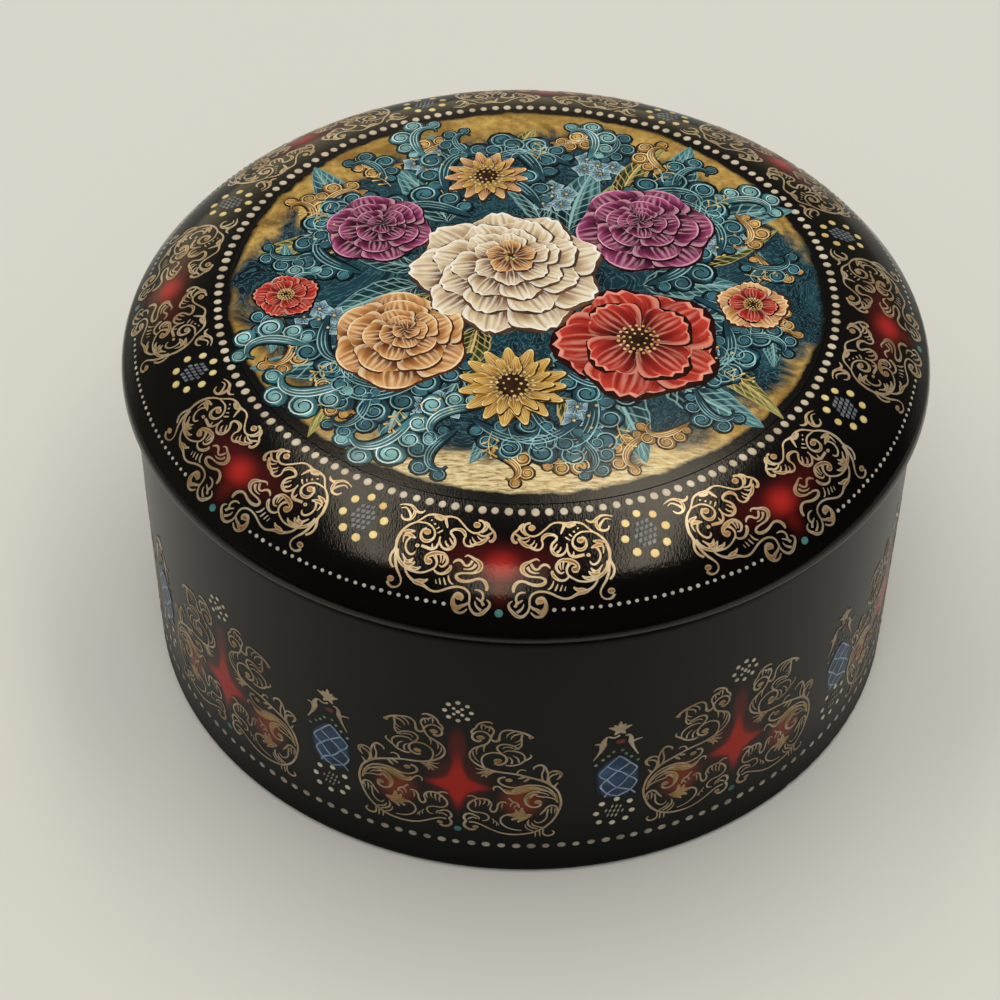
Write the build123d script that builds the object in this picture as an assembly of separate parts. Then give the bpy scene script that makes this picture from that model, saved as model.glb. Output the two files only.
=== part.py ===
from build123d import *
import math
import os

# Round box of lacquered papier-mache with a lift-off domed lid.
# Frame: +Z up, origin on the ground at the centre of the foot. All lengths are in millimetres.

# Driving sizes of the lid's outside
lid_radius = 60.0            # widest line of the rim
crown_radius = 416.0         # gentle sphere of the top
shoulder_radius = 21.4       # curve from the top down to the rim
shoulder_slope = 52.3        # degrees, where the shoulder runs into the rim's small curve
rim_radius = 2.6             # small curve above the widest line
lip_radius = 1.5             # bullnose below the widest line
lid_board = 2.4              # thickness of the pressed lid
pocket_height = 1.25         # straight side, inside the rim, that takes the hoop

# Driving sizes of the base
overhang = 1.5               # how far the lid stands out past the wall's rim
rim_height = 51.5            # ground to the rim that the lid sits on
wall = 3.7                   # thickness of the wound wall at its rim
taper = 0.8                  # how much the wall is sanded thinner down to its foot
foot_radius = 1.2            # rounded bottom edge of the wall
rim_edge_radius = 0.4        # rounded outer edge of the wall's rim

# Floor board, let into a rabbet at the foot of the wall
floor_board = 3.0
floor_recess = 0.6           # ground to the underside of the floor
rabbet_depth = 1.0           # how far the floor reaches into the wall

# Liner, glued inside the wall; its top stands up as the collar that the lid goes over
liner_board = 1.6
collar_height = 3.5          # how far the liner stands above the rim
collar_edge_radius = 0.5

# Hoop, glued in the lid's pocket; its bore goes over the collar and its foot sits on the rim
hoop_lead_in = 0.5           # chamfer at the mouth of the hoop's bore

# Painted panel, let into the top of the lid
panel_band = 0.93            # bare band between the panel and the end of the crown
panel_board = 0.6
panel_proud = 0.08           # how far the panel's face stands above the crown
panel_edge_radius = 0.06

# Clearances
glue_line = 0.05             # between two pieces that are glued together
collar_clearance = 0.30      # between the collar and the hoop's bore


def at(radius, height):
    """A point of a profile in the XZ plane."""
    return (radius, 0, height)


def spun(*edges):
    """The solid that a closed profile makes when it turns about the box's axis."""
    profile = make_face(Wire(list(edges)))
    return revolve(profile, Axis.Z, 360)


def on_arc(centre, radius, slope):
    """The point of an arc where its surface leans by slope degrees from the level."""
    lean = math.radians(slope)
    return at(centre[0] + radius * math.sin(lean), centre[2] + radius * math.cos(lean))


def arc(centre, radius, start_slope, end_slope):
    """The arc about centre between two slopes."""
    slopes = (start_slope, (start_slope + end_slope) / 2, end_slope)
    return Edge.make_three_point_arc(*[on_arc(centre, radius, slope) for slope in slopes])


def line(*points):
    """Straight edges from point to point."""
    return [Edge.make_line(a, b) for a, b in zip(points, points[1:])]


def slope_at(centre, radius, reach):
    """The slope, in degrees, of an arc about centre where it is reach from the box's axis."""
    return math.degrees(math.asin((reach - centre[0]) / radius))


# Heights that the pieces share
floor_top = floor_recess + floor_board
collar_top = rim_height + collar_height
widest_height = rim_height + lip_radius

# The lid's outside is three arcs that run into each other: crown, shoulder and rim curve.
slope_sine = math.sin(math.radians(shoulder_slope))
slope_cosine = math.cos(math.radians(shoulder_slope))
rim_to_shoulder = shoulder_radius - rim_radius
crown_to_shoulder = crown_radius - shoulder_radius
rim_centre = at(lid_radius - rim_radius, widest_height)
shoulder_centre = at(rim_centre[0] - rim_to_shoulder * slope_sine,
                     rim_centre[2] - rim_to_shoulder * slope_cosine)
crown_slope = math.degrees(math.asin(shoulder_centre[0] / crown_to_shoulder))
crown_centre = at(0, shoulder_centre[2] - crown_to_shoulder * math.cos(math.radians(crown_slope)))
lip_centre = at(lid_radius - lip_radius, widest_height)

# The lid's inside follows its outside at an even thickness.
inner_crown = crown_radius - lid_board
inner_shoulder = shoulder_radius - lid_board
pocket_top = rim_height + pocket_height
pocket_slope = math.degrees(math.acos((pocket_top - shoulder_centre[2]) / inner_shoulder))

# Radii that the pieces share
base_radius = lid_radius - overhang                       # outside of the wall, at its rim
base_foot = base_radius - taper                           # outside of the wall, at its foot
bore_radius = base_radius - wall                          # inside of the wall
liner_outer = bore_radius - glue_line
liner_inner = liner_outer - liner_board
hoop_inner = liner_outer + collar_clearance
pocket_radius = on_arc(shoulder_centre, inner_shoulder, pocket_slope)[0]
hoop_outer = pocket_radius - glue_line
panel_radius = on_arc(crown_centre, crown_radius, crown_slope)[0] - panel_band


def make_lid_crown():
    """Pressed lid: an even board that follows the outside, with a seat for the panel on top."""
    seat_radius = panel_radius + glue_line
    seat_sphere = crown_radius - panel_board - glue_line
    seat_slope = slope_at(crown_centre, seat_sphere, seat_radius)
    edge_slope = slope_at(crown_centre, crown_radius, seat_radius)
    seat_foot = on_arc(crown_centre, seat_sphere, seat_slope)
    return spun(
        arc(crown_centre, seat_sphere, 0, seat_slope),
        *line(seat_foot, on_arc(crown_centre, crown_radius, edge_slope)),
        arc(crown_centre, crown_radius, edge_slope, crown_slope),
        arc(shoulder_centre, shoulder_radius, crown_slope, shoulder_slope),
        arc(rim_centre, rim_radius, shoulder_slope, 90),
        arc(lip_centre, lip_radius, 90, 180),
        *line(
            at(lid_radius - lip_radius, rim_height),
            at(pocket_radius, rim_height),
            at(pocket_radius, pocket_top),
        ),
        arc(shoulder_centre, inner_shoulder, pocket_slope, crown_slope),
        arc(crown_centre, inner_crown, crown_slope, 0),
        *line(on_arc(crown_centre, inner_crown, 0), on_arc(crown_centre, seat_sphere, 0)),
    )


def make_lid_hoop():
    """Ring under the lid: its top follows the lid's inside, its foot is the lid's flat seat."""
    top_radius = inner_shoulder - glue_line
    inner_slope = slope_at(shoulder_centre, top_radius, hoop_inner)
    outer_slope = slope_at(shoulder_centre, top_radius, hoop_outer)
    return spun(
        arc(shoulder_centre, top_radius, inner_slope, outer_slope),
        *line(
            on_arc(shoulder_centre, top_radius, outer_slope),
            at(hoop_outer, rim_height),
            at(hoop_inner + hoop_lead_in, rim_height),
            at(hoop_inner, rim_height + hoop_lead_in),
            on_arc(shoulder_centre, top_radius, inner_slope),
        ),
    )


def make_picture_panel():
    """Thin domed disc that carries the painted picture, with a softened edge."""
    under = crown_radius - panel_board
    face = crown_radius + panel_proud
    edge_sphere = face - panel_edge_radius
    edge_slope = slope_at(crown_centre, edge_sphere, panel_radius - panel_edge_radius)
    edge_centre = on_arc(crown_centre, edge_sphere, edge_slope)
    under_slope = slope_at(crown_centre, under, panel_radius)
    return spun(
        arc(crown_centre, face, 0, edge_slope),
        arc(edge_centre, panel_edge_radius, edge_slope, 90),
        *line(on_arc(edge_centre, panel_edge_radius, 90), on_arc(crown_centre, under, under_slope)),
        arc(crown_centre, under, under_slope, 0),
        *line(on_arc(crown_centre, under, 0), on_arc(crown_centre, face, 0)),
    )


def make_base_wall():
    """Wound tube, narrower at its rounded foot, with a softened rim and a rabbet for the floor."""
    rabbet_radius = bore_radius + rabbet_depth
    foot_centre = at(base_foot - foot_radius, foot_radius)
    edge_centre = at(base_radius - rim_edge_radius, rim_height - rim_edge_radius)
    return spun(
        *line(at(rabbet_radius, 0), at(base_foot - foot_radius, 0)),
        arc(foot_centre, foot_radius, 180, 90),
        *line(at(base_foot, foot_radius), at(base_radius, rim_height - rim_edge_radius)),
        arc(edge_centre, rim_edge_radius, 90, 0),
        *line(
            at(base_radius - rim_edge_radius, rim_height),
            at(bore_radius, rim_height),
            at(bore_radius, floor_top),
            at(rabbet_radius, floor_top),
            at(rabbet_radius, 0),
        ),
    )


def make_base_floor():
    """Flat disc in the wall's rabbet, its underside clear of the ground."""
    floor_radius = bore_radius + rabbet_depth - glue_line
    disc = Cylinder(floor_radius, floor_board, align=(Align.CENTER, Align.CENTER, Align.MIN))
    return Pos(0, 0, floor_recess) * disc


def make_base_liner():
    """Thin tube from the floor to above the rim, with a rounded top that guides the lid on."""
    round_height = collar_top - collar_edge_radius
    round_outer = at(liner_outer - collar_edge_radius, round_height)
    round_inner = at(liner_inner + collar_edge_radius, round_height)
    return spun(
        *line(at(liner_inner, floor_top), at(liner_outer, floor_top), at(liner_outer, round_height)),
        arc(round_outer, collar_edge_radius, 90, 0),
        *line(at(round_outer[0], collar_top), at(round_inner[0], collar_top)),
        arc(round_inner, collar_edge_radius, 0, -90),
        *line(at(liner_inner, round_height), at(liner_inner, floor_top)),
    )


pieces = {
    "base_wall": make_base_wall(),
    "base_floor": make_base_floor(),
    "base_liner": make_base_liner(),
    "lid_crown": make_lid_crown(),
    "lid_hoop": make_lid_hoop(),
    "picture_panel": make_picture_panel(),
}

os.makedirs("parts", exist_ok=True)
for name, solid in pieces.items():
    export_step(solid, f"parts/{name}.step")
    size = solid.bounding_box().size
    print(f"{name}: {size.X:.2f} x {size.Y:.2f} x {size.Z:.2f} mm, {solid.volume / 1000:.2f} cm3")
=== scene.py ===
import math
import random
from functools import partial

import bmesh
import bpy
from mathutils import Matrix, Vector


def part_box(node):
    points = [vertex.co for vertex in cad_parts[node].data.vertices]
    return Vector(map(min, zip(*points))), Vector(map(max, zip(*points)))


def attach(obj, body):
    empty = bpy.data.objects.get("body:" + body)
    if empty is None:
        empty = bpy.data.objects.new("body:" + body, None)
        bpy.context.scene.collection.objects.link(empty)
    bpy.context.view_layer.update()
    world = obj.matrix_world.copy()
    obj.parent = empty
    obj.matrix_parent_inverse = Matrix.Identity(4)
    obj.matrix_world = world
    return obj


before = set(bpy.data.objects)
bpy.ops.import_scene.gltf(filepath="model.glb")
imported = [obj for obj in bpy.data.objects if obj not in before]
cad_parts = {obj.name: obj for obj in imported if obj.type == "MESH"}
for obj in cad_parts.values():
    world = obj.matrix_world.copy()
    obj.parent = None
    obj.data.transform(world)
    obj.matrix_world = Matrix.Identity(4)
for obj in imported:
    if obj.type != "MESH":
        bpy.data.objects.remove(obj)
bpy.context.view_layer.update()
bpy.ops.object.select_all(action="DESELECT")
scene = bpy.context.scene
scene.view_settings.view_transform = "Standard"
dice = random.Random(7)
mm = 0.001


def hexColour(code):
    # sRGB hex to the linear colour that a shader socket takes
    channels = [int(code[place:place + 2], 16) / 255 for place in (1, 3, 5)]
    return [c / 12.92 if c <= 0.04045 else ((c + 0.055) / 1.055) ** 2.4 for c in channels] + [1.0]


def mixTone(code, share):
    # a darker or lighter tone of a colour
    channels = [min(255, round(int(code[place:place + 2], 16) * share)) for place in (1, 3, 5)]
    return "#" + "".join(f"{channel:02X}" for channel in channels)


def plug(node, inputs):
    # inputs go by name or number, or in the order of the sockets; each is a plain value, a hex colour,
    # another node's output, or a node, which stands for its first live output
    for socket, value in inputs.items() if isinstance(inputs, dict) else enumerate(inputs):
        if isinstance(value, bpy.types.Node):
            value = next(output for output in value.outputs if output.enabled)
        if isinstance(value, bpy.types.NodeSocket):
            node.id_data.links.new(value, node.inputs[socket])
        else:
            node.inputs[socket].default_value = hexColour(value) if isinstance(value, str) else value


def addNode(tree, kind, inputs=(), **settings):
    # a node with its settings and links
    node = tree.nodes.new("ShaderNode" + kind)
    for name, value in settings.items():
        setattr(node, name, value)
    plug(node, inputs)
    return node


def newMaterial(name):
    # a material, its shader, and what adds nodes to it
    material = bpy.data.materials.new(name)
    material.use_nodes = True
    return material, material.node_tree.nodes["Principled BSDF"], partial(addNode, material.node_tree)


# The floor, the room, the lamps and the camera. Lengths here are in metres.

floorValues = {
    "size": 6.0,
    "card": ("#D6D5CD", "#DAD9D1"),
    "cloud": 3.0,                    # faint clouds in the card, about 0.3 m wide
    "grain": 1500.0,                 # its grain, under 1 mm
    "bump": (0.05, 0.0002),
    "roughness": 0.75,
    "gloss": 0.2,
    "dim": (0.12, 0.21, 0.0, 0.60),  # painted shade: the card as gloss sees it, dimmer all round: from, to, least, most
    "shade": "#0B0A09",
    "glossDarkEdge": (-0.09, -0.16),     # how far in front gloss sees the card turn dark: a dark reflection painted into the card
    "glossDark": "#090909",
}


def makeFloor():
    values = floorValues
    bpy.ops.mesh.primitive_plane_add(size=values["size"])
    floor = bpy.context.object
    floor.name = "floor"
    material, shader, add = newMaterial("matte card sheet")     # faint cloudiness of plain card
    place = add("TexCoord").outputs["Object"]
    right, back, up = add("SeparateXYZ", [place]).outputs
    glossy = add("LightPath").outputs["Is Glossy Ray"]
    cloud = add("TexNoise", {"Vector": place, "Scale": values["cloud"], "Detail": 4.0})
    tone = add("Mix", {0: cloud, 6: values["card"][0], 7: values["card"][1]}, data_type="RGBA")
    # glossy rays see the card with painted shade: dimmer all round, and dark in front
    away = add("VectorMath", [add("CombineXYZ", [right, back])], operation="LENGTH")
    dimmer = add("MapRange", [away, *values["dim"]], interpolation_type="SMOOTHSTEP")
    shown = add("Math", [dimmer, glossy], operation="MULTIPLY")
    softer = add("Mix", {0: shown, 6: tone, 7: values["shade"]}, data_type="RGBA")
    glossDark = add("MapRange", [back, *values["glossDarkEdge"]], interpolation_type="SMOOTHSTEP")
    mirrored = add("Math", [glossDark, glossy], operation="MULTIPLY")
    seen = add("Mix", {0: mirrored, 6: softer, 7: values["glossDark"]}, data_type="RGBA")
    grain = add("TexNoise", {"Vector": place, "Scale": values["grain"], "Detail": 2.0})
    bump = add("Bump", {"Height": grain, "Strength": values["bump"][0], "Distance": values["bump"][1]})
    plug(shader, {"Base Color": seen, "Normal": bump, "Roughness": values["roughness"],
                  "Specular IOR Level": values["gloss"]})
    floor.data.materials.append(material)


roomValues = {
    "backdrop": "#C4C6C3",           # behind the floor in the low views
    "pale": "#EADBB8",               # what gloss sees near the horizon: a warm pale wall
    "windowSide": (-0.26, 0.966, 0.0),
    "window": (0.80, 0.97, 0.13, 1.0),   # brightest at the window; the third is what is left beside it
    "wallSide": (-0.5, 0.85, 0.0),   # the wall stands higher towards this side
    "wallSweep": (-0.3, 0.6),
    "wallHeight": (0.85, -0.012),    # how much higher, and its height in front
    "wallFoot": -0.02,
    "dark": (0.01125, 0.075),        # overhead, as a dim room behind the lamps: in front, at the back left
    "fillFrom": (0.0, 0.5, 0.866),
    "fill": (0.2, 1.0, 0.34, 0.75),  # plain light, least from the front, most from above the back
    "fillColour": (0.95, 1.0, 1.08, 1.0),
}


def makeRoom():
    values = roomValues
    world = bpy.data.worlds.new("room")
    scene.world = world
    world.use_nodes = True
    world.node_tree.nodes.clear()
    add = partial(addNode, world.node_tree)
    aim = add("TexCoord").outputs["Generated"]
    ray = add("LightPath").outputs
    wallSide, windowSide, fillSide = (add("VectorMath", [aim, values[side]], operation="DOT_PRODUCT")
                                      for side in ("wallSide", "windowSide", "fillFrom"))
    sweep = add("MapRange", [wallSide, *values["wallSweep"]], interpolation_type="SMOOTHSTEP")
    top = add("Math", [sweep, *values["wallHeight"]], operation="MULTIPLY_ADD")
    lift = add("SeparateXYZ", [aim]).outputs[2]
    rise = add("MapRange", [lift, values["wallFoot"], top], interpolation_type="SMOOTHSTEP")
    dim = add("MapRange", [sweep, 0.0, 1.0, *values["dark"]])
    window = add("MapRange", [windowSide, *values["window"]], interpolation_type="SMOOTHSTEP")
    wall = add("VectorMath", {0: hexColour(values["pale"])[:3], "Scale": window}, operation="SCALE")
    mirrored = add("Mix", {0: rise, 6: wall, 7: dim}, data_type="RGBA")
    seen = add("Mix", {0: ray["Is Camera Ray"], 6: mirrored, 7: values["backdrop"]}, data_type="RGBA")
    pale = add("Background", {"Color": seen, "Strength": 1.0})
    fill = add("MapRange", [fillSide, *values["fill"]], interpolation_type="SMOOTHSTEP")
    plain = add("Background", {"Color": values["fillColour"], "Strength": fill})
    glossy = add("Math", [ray["Is Camera Ray"], ray["Is Glossy Ray"]], operation="MAXIMUM")
    clear = add("Math", [glossy, ray["Is Transmission Ray"]], operation="MAXIMUM")
    add("OutputWorld", [add("MixShader", [clear, plain, pale])])


lampValues = {                       # place, aim, size, power, turn in degrees, whether gloss shows it
    "stripLeft": ((-0.40, 0.14, 1.15), (-0.40, 0.14, 0.0), (0.23, 1.30), 3.0, -17, True),
    "stripRight": ((0.31, 0.17, 1.15), (0.31, 0.17, 0.0), (0.23, 1.30), 3.6, 14, True),
    "front": ((-0.08, -0.56, 1.12), (0.0, 0.0, 0.05), (0.22, 0.46), 0.9, 0, True),
    "plain": ((0.0, -0.75, 0.95), (0.0, 0.0, 0.05), (0.8, 0.5), 2.2, 0, False),
}
lampColours = {True: "#FFF0D6", False: "#FFFFFF"}    # warm where gloss shows the lamp
cameraValues = {
    "place": (0.0, -0.330912, 0.346428),
    "pitch": 44.575,                 # degrees below the level
    "yaw": -0.4414,
    "roll": 1.1197,
    "lens": 106.67,
    "sensor": 36.0,
}


def makeLamp(name, place, aim, size, power, turn, glare):
    bpy.ops.object.light_add(type="AREA", location=place)
    light = bpy.context.object
    light.name = name
    light.data.shape = "RECTANGLE"
    light.data.size, light.data.size_y = size
    light.data.energy = power
    light.data.color = hexColour(lampColours[glare])[:3]
    light.visible_glossy = glare
    aimed = (Vector(aim) - Vector(place)).to_track_quat("-Z", "Y").to_matrix()
    light.rotation_euler = (Matrix.Rotation(math.radians(turn), 3, "Z") @ aimed).to_euler()


def makeCamera():
    values = cameraValues
    bpy.ops.object.camera_add(location=values["place"])
    camera = bpy.context.object
    camera.name = "camera"
    pitch, yaw, roll = (math.radians(values[part]) for part in ("pitch", "yaw", "roll"))
    ahead = Vector((math.sin(yaw), math.cos(yaw) * math.cos(pitch), -math.cos(yaw) * math.sin(pitch)))
    side = Vector((math.cos(yaw), -math.sin(yaw) * math.cos(pitch), math.sin(yaw) * math.sin(pitch)))
    up = Vector((0, math.sin(pitch), math.cos(pitch)))
    right = math.cos(roll) * side + math.sin(roll) * up
    top = math.cos(roll) * up - math.sin(roll) * side
    camera.rotation_euler = Matrix((right, top, -ahead)).transposed().to_euler()
    camera.data.lens = values["lens"]
    camera.data.sensor_width = values["sensor"]
    scene.camera = camera


def makeStage():
    makeFloor()
    makeRoom()
    for name, values in lampValues.items():
        makeLamp(name, *values)
    makeCamera()
    print("stage: floor, room, four lamps, camera")


# Places on the lid, the wall and the picture, in millimetres. The arcs are the CAD part's own.

lidShape = {
    "crownRadius": 416.0,
    "shoulderRadius": 21.4,
    "shoulderSlope": 52.3,           # degrees, where the shoulder meets the rim curve
    "rimRadius": 2.6,
    "lipRadius": 1.5,
    "panelProud": 0.08,
    "flatStart": 42.0,               # radius that distances down the lid are counted from
    "flatRadius": 52.0,              # radius at which distances round the lid are true
}
wallShape = {
    "taper": 0.8,                    # how much the wall narrows from its rim to its foot
    "footRadius": 1.2,
    "rimEdge": 0.4,
    "flatRadius": 58.2,              # radius at which distances round the wall are true
}
film = {
    "thick": 0.05,                   # a layer of paint
    "bury": 0.045,                   # how far it reaches into the lacquer
    "bead": 0.11,                    # how high a bead of paint stands
    "over": 0.012,                   # how far a second layer lies over or under the first
}

lidLow, lidHigh = (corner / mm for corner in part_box("lid_crown"))
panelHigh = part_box("picture_panel")[1] / mm
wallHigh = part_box("base_wall")[1] / mm

crownRadius, shoulderRadius, rimRadius = (lidShape[arc + "Radius"] for arc in ("crown", "shoulder", "rim"))
rimSlope = math.radians(lidShape["shoulderSlope"])
rimCentre = (lidHigh.x - rimRadius, lidLow.z + lidShape["lipRadius"])
shoulderReach = shoulderRadius - rimRadius
shoulderCentre = (rimCentre[0] - shoulderReach * math.sin(rimSlope),
                  rimCentre[1] - shoulderReach * math.cos(rimSlope))
crownCentre = (0.0, panelHigh.z - lidShape["panelProud"] - crownRadius)
crownSlope = math.asin(shoulderCentre[0] / (crownRadius - shoulderRadius))
startSlope = math.asin(lidShape["flatStart"] / crownRadius)
lidArcs = [                          # centre, radius, slope where the arc starts, how far it runs
    (crownCentre, crownRadius, startSlope, (crownSlope - startSlope) * crownRadius),
    (shoulderCentre, shoulderRadius, crownSlope, (rimSlope - crownSlope) * shoulderRadius),
    (rimCentre, rimRadius, rimSlope, math.inf),
]


def turned(turn, reach, up):
    # the point at a turn from the front, a distance from the axis and a height
    return Vector((reach * math.sin(turn), -reach * math.cos(turn), up)) * mm


def onLid(across, outward, height):
    # millimetres round the lid and down its side, to a point that far above the lacquer
    for centre, radius, slope, run in lidArcs:
        if outward < run:
            break
        outward -= run
    slope += outward / radius
    reach = centre[0] + (radius + height) * math.sin(slope)
    return turned(across / lidShape["flatRadius"], reach, centre[1] + (radius + height) * math.cos(slope))


def onWall(across, up, height):
    top, foot = wallHigh.z - wallShape["rimEdge"], wallShape["footRadius"]
    reach = wallHigh.x - wallShape["taper"] * (top - up) / (top - foot) + height
    return turned(across / wallShape["flatRadius"], reach, up)


def onPicture(right, back, height):
    reach = math.hypot(right, back)
    radius = crownRadius + lidShape["panelProud"]
    slope = reach / radius
    share = (radius + height) * math.sin(slope) / reach if reach > 1e-9 else 1.0
    return Vector((right * share, back * share, crownCentre[1] + (radius + height) * math.cos(slope))) * mm


# Finishes. The nodes work in metres, and the values in millimetres where a node turns them.

glossValues = {
    "lid": {"roughness": 0.13, "scratch": 0.07, "ior": 1.45},
    "picture": {"roughness": 0.15, "scratch": 0.035, "ior": 1.45},
    "wall": {"roughness": 0.30, "scratch": 0.03, "ior": 1.24},
}
hairlines = {
    "turns": (0.5, 1.9),             # two ways that the polishing cloth went
    "scale": (4200, 1500, 2500),     # hairlines about 0.2 mm apart
    "depth": 0.0002,
}

paintValues = {                      # where the dark, middle and pale tone lie in the patches
    "patch": {"Detail": 3.0, "Roughness": 0.65},
    "from": 0.32,
    "middle": 0.5,
    "to": 0.68,
}


def lacquerNormal(add, surface):
    # the smooth face of the lacquer over a painted place, so that a glare runs on across the paint
    reach, height = {"lid": shoulderCentre, "picture": crownCentre, "wall": (0.0, 0.0)}[surface]
    place = add("TexCoord").outputs["Object"]
    right, back, up = add("SeparateXYZ", [place]).outputs
    outward = add("VectorMath", [add("CombineXYZ", [right, back])], operation="NORMALIZE")
    if surface != "wall":
        scale, lift = [reach * mm] * 3, [0.0, 0.0, height * mm]
        foot = add("VectorMath", [outward, scale, lift], operation="MULTIPLY_ADD")
        leg = add("VectorMath", [place, foot], operation="SUBTRACT")
        outward = add("VectorMath", [leg], operation="NORMALIZE")
    return add("VectorTransform", [outward], vector_type="NORMAL", convert_from="OBJECT", convert_to="WORLD")


def underLacquer(add, shader, surface, colour, roughness=0.5, smooth=False):
    # oil varnish over a colour, rubbed down and polished: clear coat with fine hairlines
    values = glossValues[surface]
    place = add("TexCoord").outputs["Object"]
    noises = []
    for turn in hairlines["turns"]:
        lay = add("Mapping", {"Vector": place, "Rotation": (0, 0, turn), "Scale": hairlines["scale"]})
        noises.append(add("TexNoise", {"Vector": lay, "Scale": 1.0, "Detail": 1.0}))
    height = add("Math", noises, operation="ADD")
    bump = add("Bump", {"Height": height, "Strength": values["scratch"], "Distance": hairlines["depth"]})
    if smooth:
        face = lacquerNormal(add, surface)
        plug(bump, {"Normal": face})
        plug(shader, {"Normal": face})
    plug(shader, {"Base Color": colour, "Roughness": roughness, "Specular IOR Level": 0.0})
    plug(shader, {"Coat Weight": 1.0, "Coat IOR": values["ior"], "Coat Roughness": values["roughness"],
                  "Coat Normal": bump})


def paintMaterial(name, surface, tones, patch=1.6, metal=0.0, roughness=0.55):
    # egg tempera or shell gold under lacquer: colour shifts in patches of so many mm where the paint thins
    material, shader, add = newMaterial(name)
    place = add("TexCoord").outputs["Object"]
    broad = add("TexNoise", {"Vector": place, "Scale": 1000.0 / patch / 2, **paintValues["patch"]})
    ramp = add("ValToRGB", [broad])
    first, last = ramp.color_ramp.elements
    first.position, last.position = paintValues["from"], paintValues["to"]
    first.color, last.color = hexColour(tones[0]), hexColour(tones[2])
    ramp.color_ramp.elements.new(paintValues["middle"]).color = hexColour(tones[1])
    plug(shader, {"Metallic": metal})
    underLacquer(add, shader, surface, ramp, roughness, True)
    return material


def mixPaints(surface, paints):
    return [paintMaterial(name, surface, *values) for name, values in paints.items()]


def polar(add):
    # the turn from the front, and millimetres from the axis and above the ground, at a point of the box
    right, back, up = add("SeparateXYZ", [add("TexCoord").outputs["Object"]]).outputs
    ahead = add("Math", [back, -1.0], operation="MULTIPLY")
    turn = add("Math", [right, ahead], operation="ARCTAN2")
    reach = add("VectorMath", [add("CombineXYZ", [right, back])], operation="LENGTH")
    return turn, *(add("Math", [length, 1 / mm], operation="MULTIPLY") for length in (reach, up))


def softSpot(add, across, along, centre, size, fade=(0.0, 1.0)):
    # 1 inside a soft-edged oval, 0 outside; centre and half sizes in millimetres
    shifted = add("Math", [along, centre], operation="SUBTRACT")
    flat = add("CombineXYZ", [across, shifted])
    scaled = add("VectorMath", [flat, (1 / size[0], 1 / size[1], 1.0)], operation="MULTIPLY")
    reach = add("VectorMath", [scaled], operation="LENGTH")
    return add("MapRange", [reach, *fade, 1.0, 0.0], interpolation_type="SMOOTHERSTEP")


def repeatAcross(add, turn, count, offset, radius):
    # millimetres from the middle line of the nearest of count equal fields round the box
    field = math.tau / count
    shifted = add("Math", [turn, math.radians(offset)], operation="SUBTRACT")
    wrapped = add("Math", [shifted, -field / 2, field / 2], operation="WRAP")
    return add("Math", [wrapped, radius], operation="MULTIPLY")


lidValues = {
    "fields": 8,
    "offset": -2.9,                  # degrees from the front to the nearest cartouche
    "black": "#080706",
    "red": "#A92620",
    "redDull": "#47100E",
    "core": (53.1, (4.0, 3.1), (-0.15, 1.0)),    # spots of red: radius, half width and half height, fade
    "stem": (54.6, (2.2, 4.2)),
    "wide": (52.3, (14.0, 3.8)),
    "stemShare": 0.22,               # how bright the stem is beside the core
    "edge": "#726D63",               # painted highlight along the lower edge of the lip
    "highlightBand": (52.2, 52.0),            # between which heights the painted highlight lies
    "highlightFront": (0.30, 0.72, 1.0, 0.06),    # from which turn to which the painted highlight gives out, and what is left
    "rimCoatFade": (52.2, 53.9, 0.5, 1.0),   # a weaker coat round the edge, which darkens the rim's reflection: heights, then weights
    "under": -0.02,                  # a face that looks further down than this is the lid's underside
    "insideReach": 57.84,            # radius of the lid's inside
}
wallValues = {
    "fields": 9,
    "offset": -8.5,
    "late": (31.5, 19.0, 1.6),       # one cartouche stands further round: middle, half field, how far
    "black": "#050504",
    "red": "#98190D",
    "redDull": "#4A120A",
    "ember": "#6E2614",              # red-brown glow behind the outer leaves
    "star": [                        # side arms, upright arms, heart: height, half sizes
        (19.4, (7.4, 1.9)), (20.6, (1.7, 10.6)), (19.5, (3.6, 4.6))],
    "starTop": (22.5, 28.0, 1.0, 0.16),      # heights over which the star fades, and what is left
    "starEdge": (0.05, 0.85),
    "wide": (20.0, (7.0, 8.0)),      # dull red round the star and above it
    "plume": (27.5, (1.9, 6.0), (0.3, 1.0)),
    "flank": 9.2,                    # from the middle line to the ember
    "behind": (16.8, (4.6, 5.2), (0.1, 1.0)),
    "outside": 57.0,                 # the wall's outside is further from the axis than this
    "shadeUnderLid": (49.6, 50.6),         # painted shade under the lid, darkest in front: heights
    "shadeUnderLidSides": (0.35, 0.9, 0.05, 0.6),      # turns, and the varnish left there: the painted shade gives out towards the sides
    "foot": (0.5, 15.0, 0.35, 1.0),  # less varnish towards the foot: painted shade, a darker reflection low on the wall
}
insideValues = {
    "tones": ("#6E120F", "#8E1B16"),
    "strokes": (90, 520, 520),       # brush strokes a few mm wide, drawn out round the box
    "under": 0.5,
}


def redLacquerColour(add):
    # cinnabar-red lacquer brushed inside the box
    place = add("TexCoord").outputs["Object"]
    lay = add("Mapping", {"Vector": place, "Scale": insideValues["strokes"]})
    brush = add("TexNoise", {"Vector": lay, "Scale": 1.0, "Detail": 4.0})
    dark, bright = insideValues["tones"]
    return add("Mix", {0: brush, 6: dark, 7: bright}, data_type="RGBA")


def facesDown(add, limit):
    upward = add("SeparateXYZ", [add("NewGeometry").outputs["Normal"]]).outputs[2]
    return add("Math", [upward, limit], operation="LESS_THAN")


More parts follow.
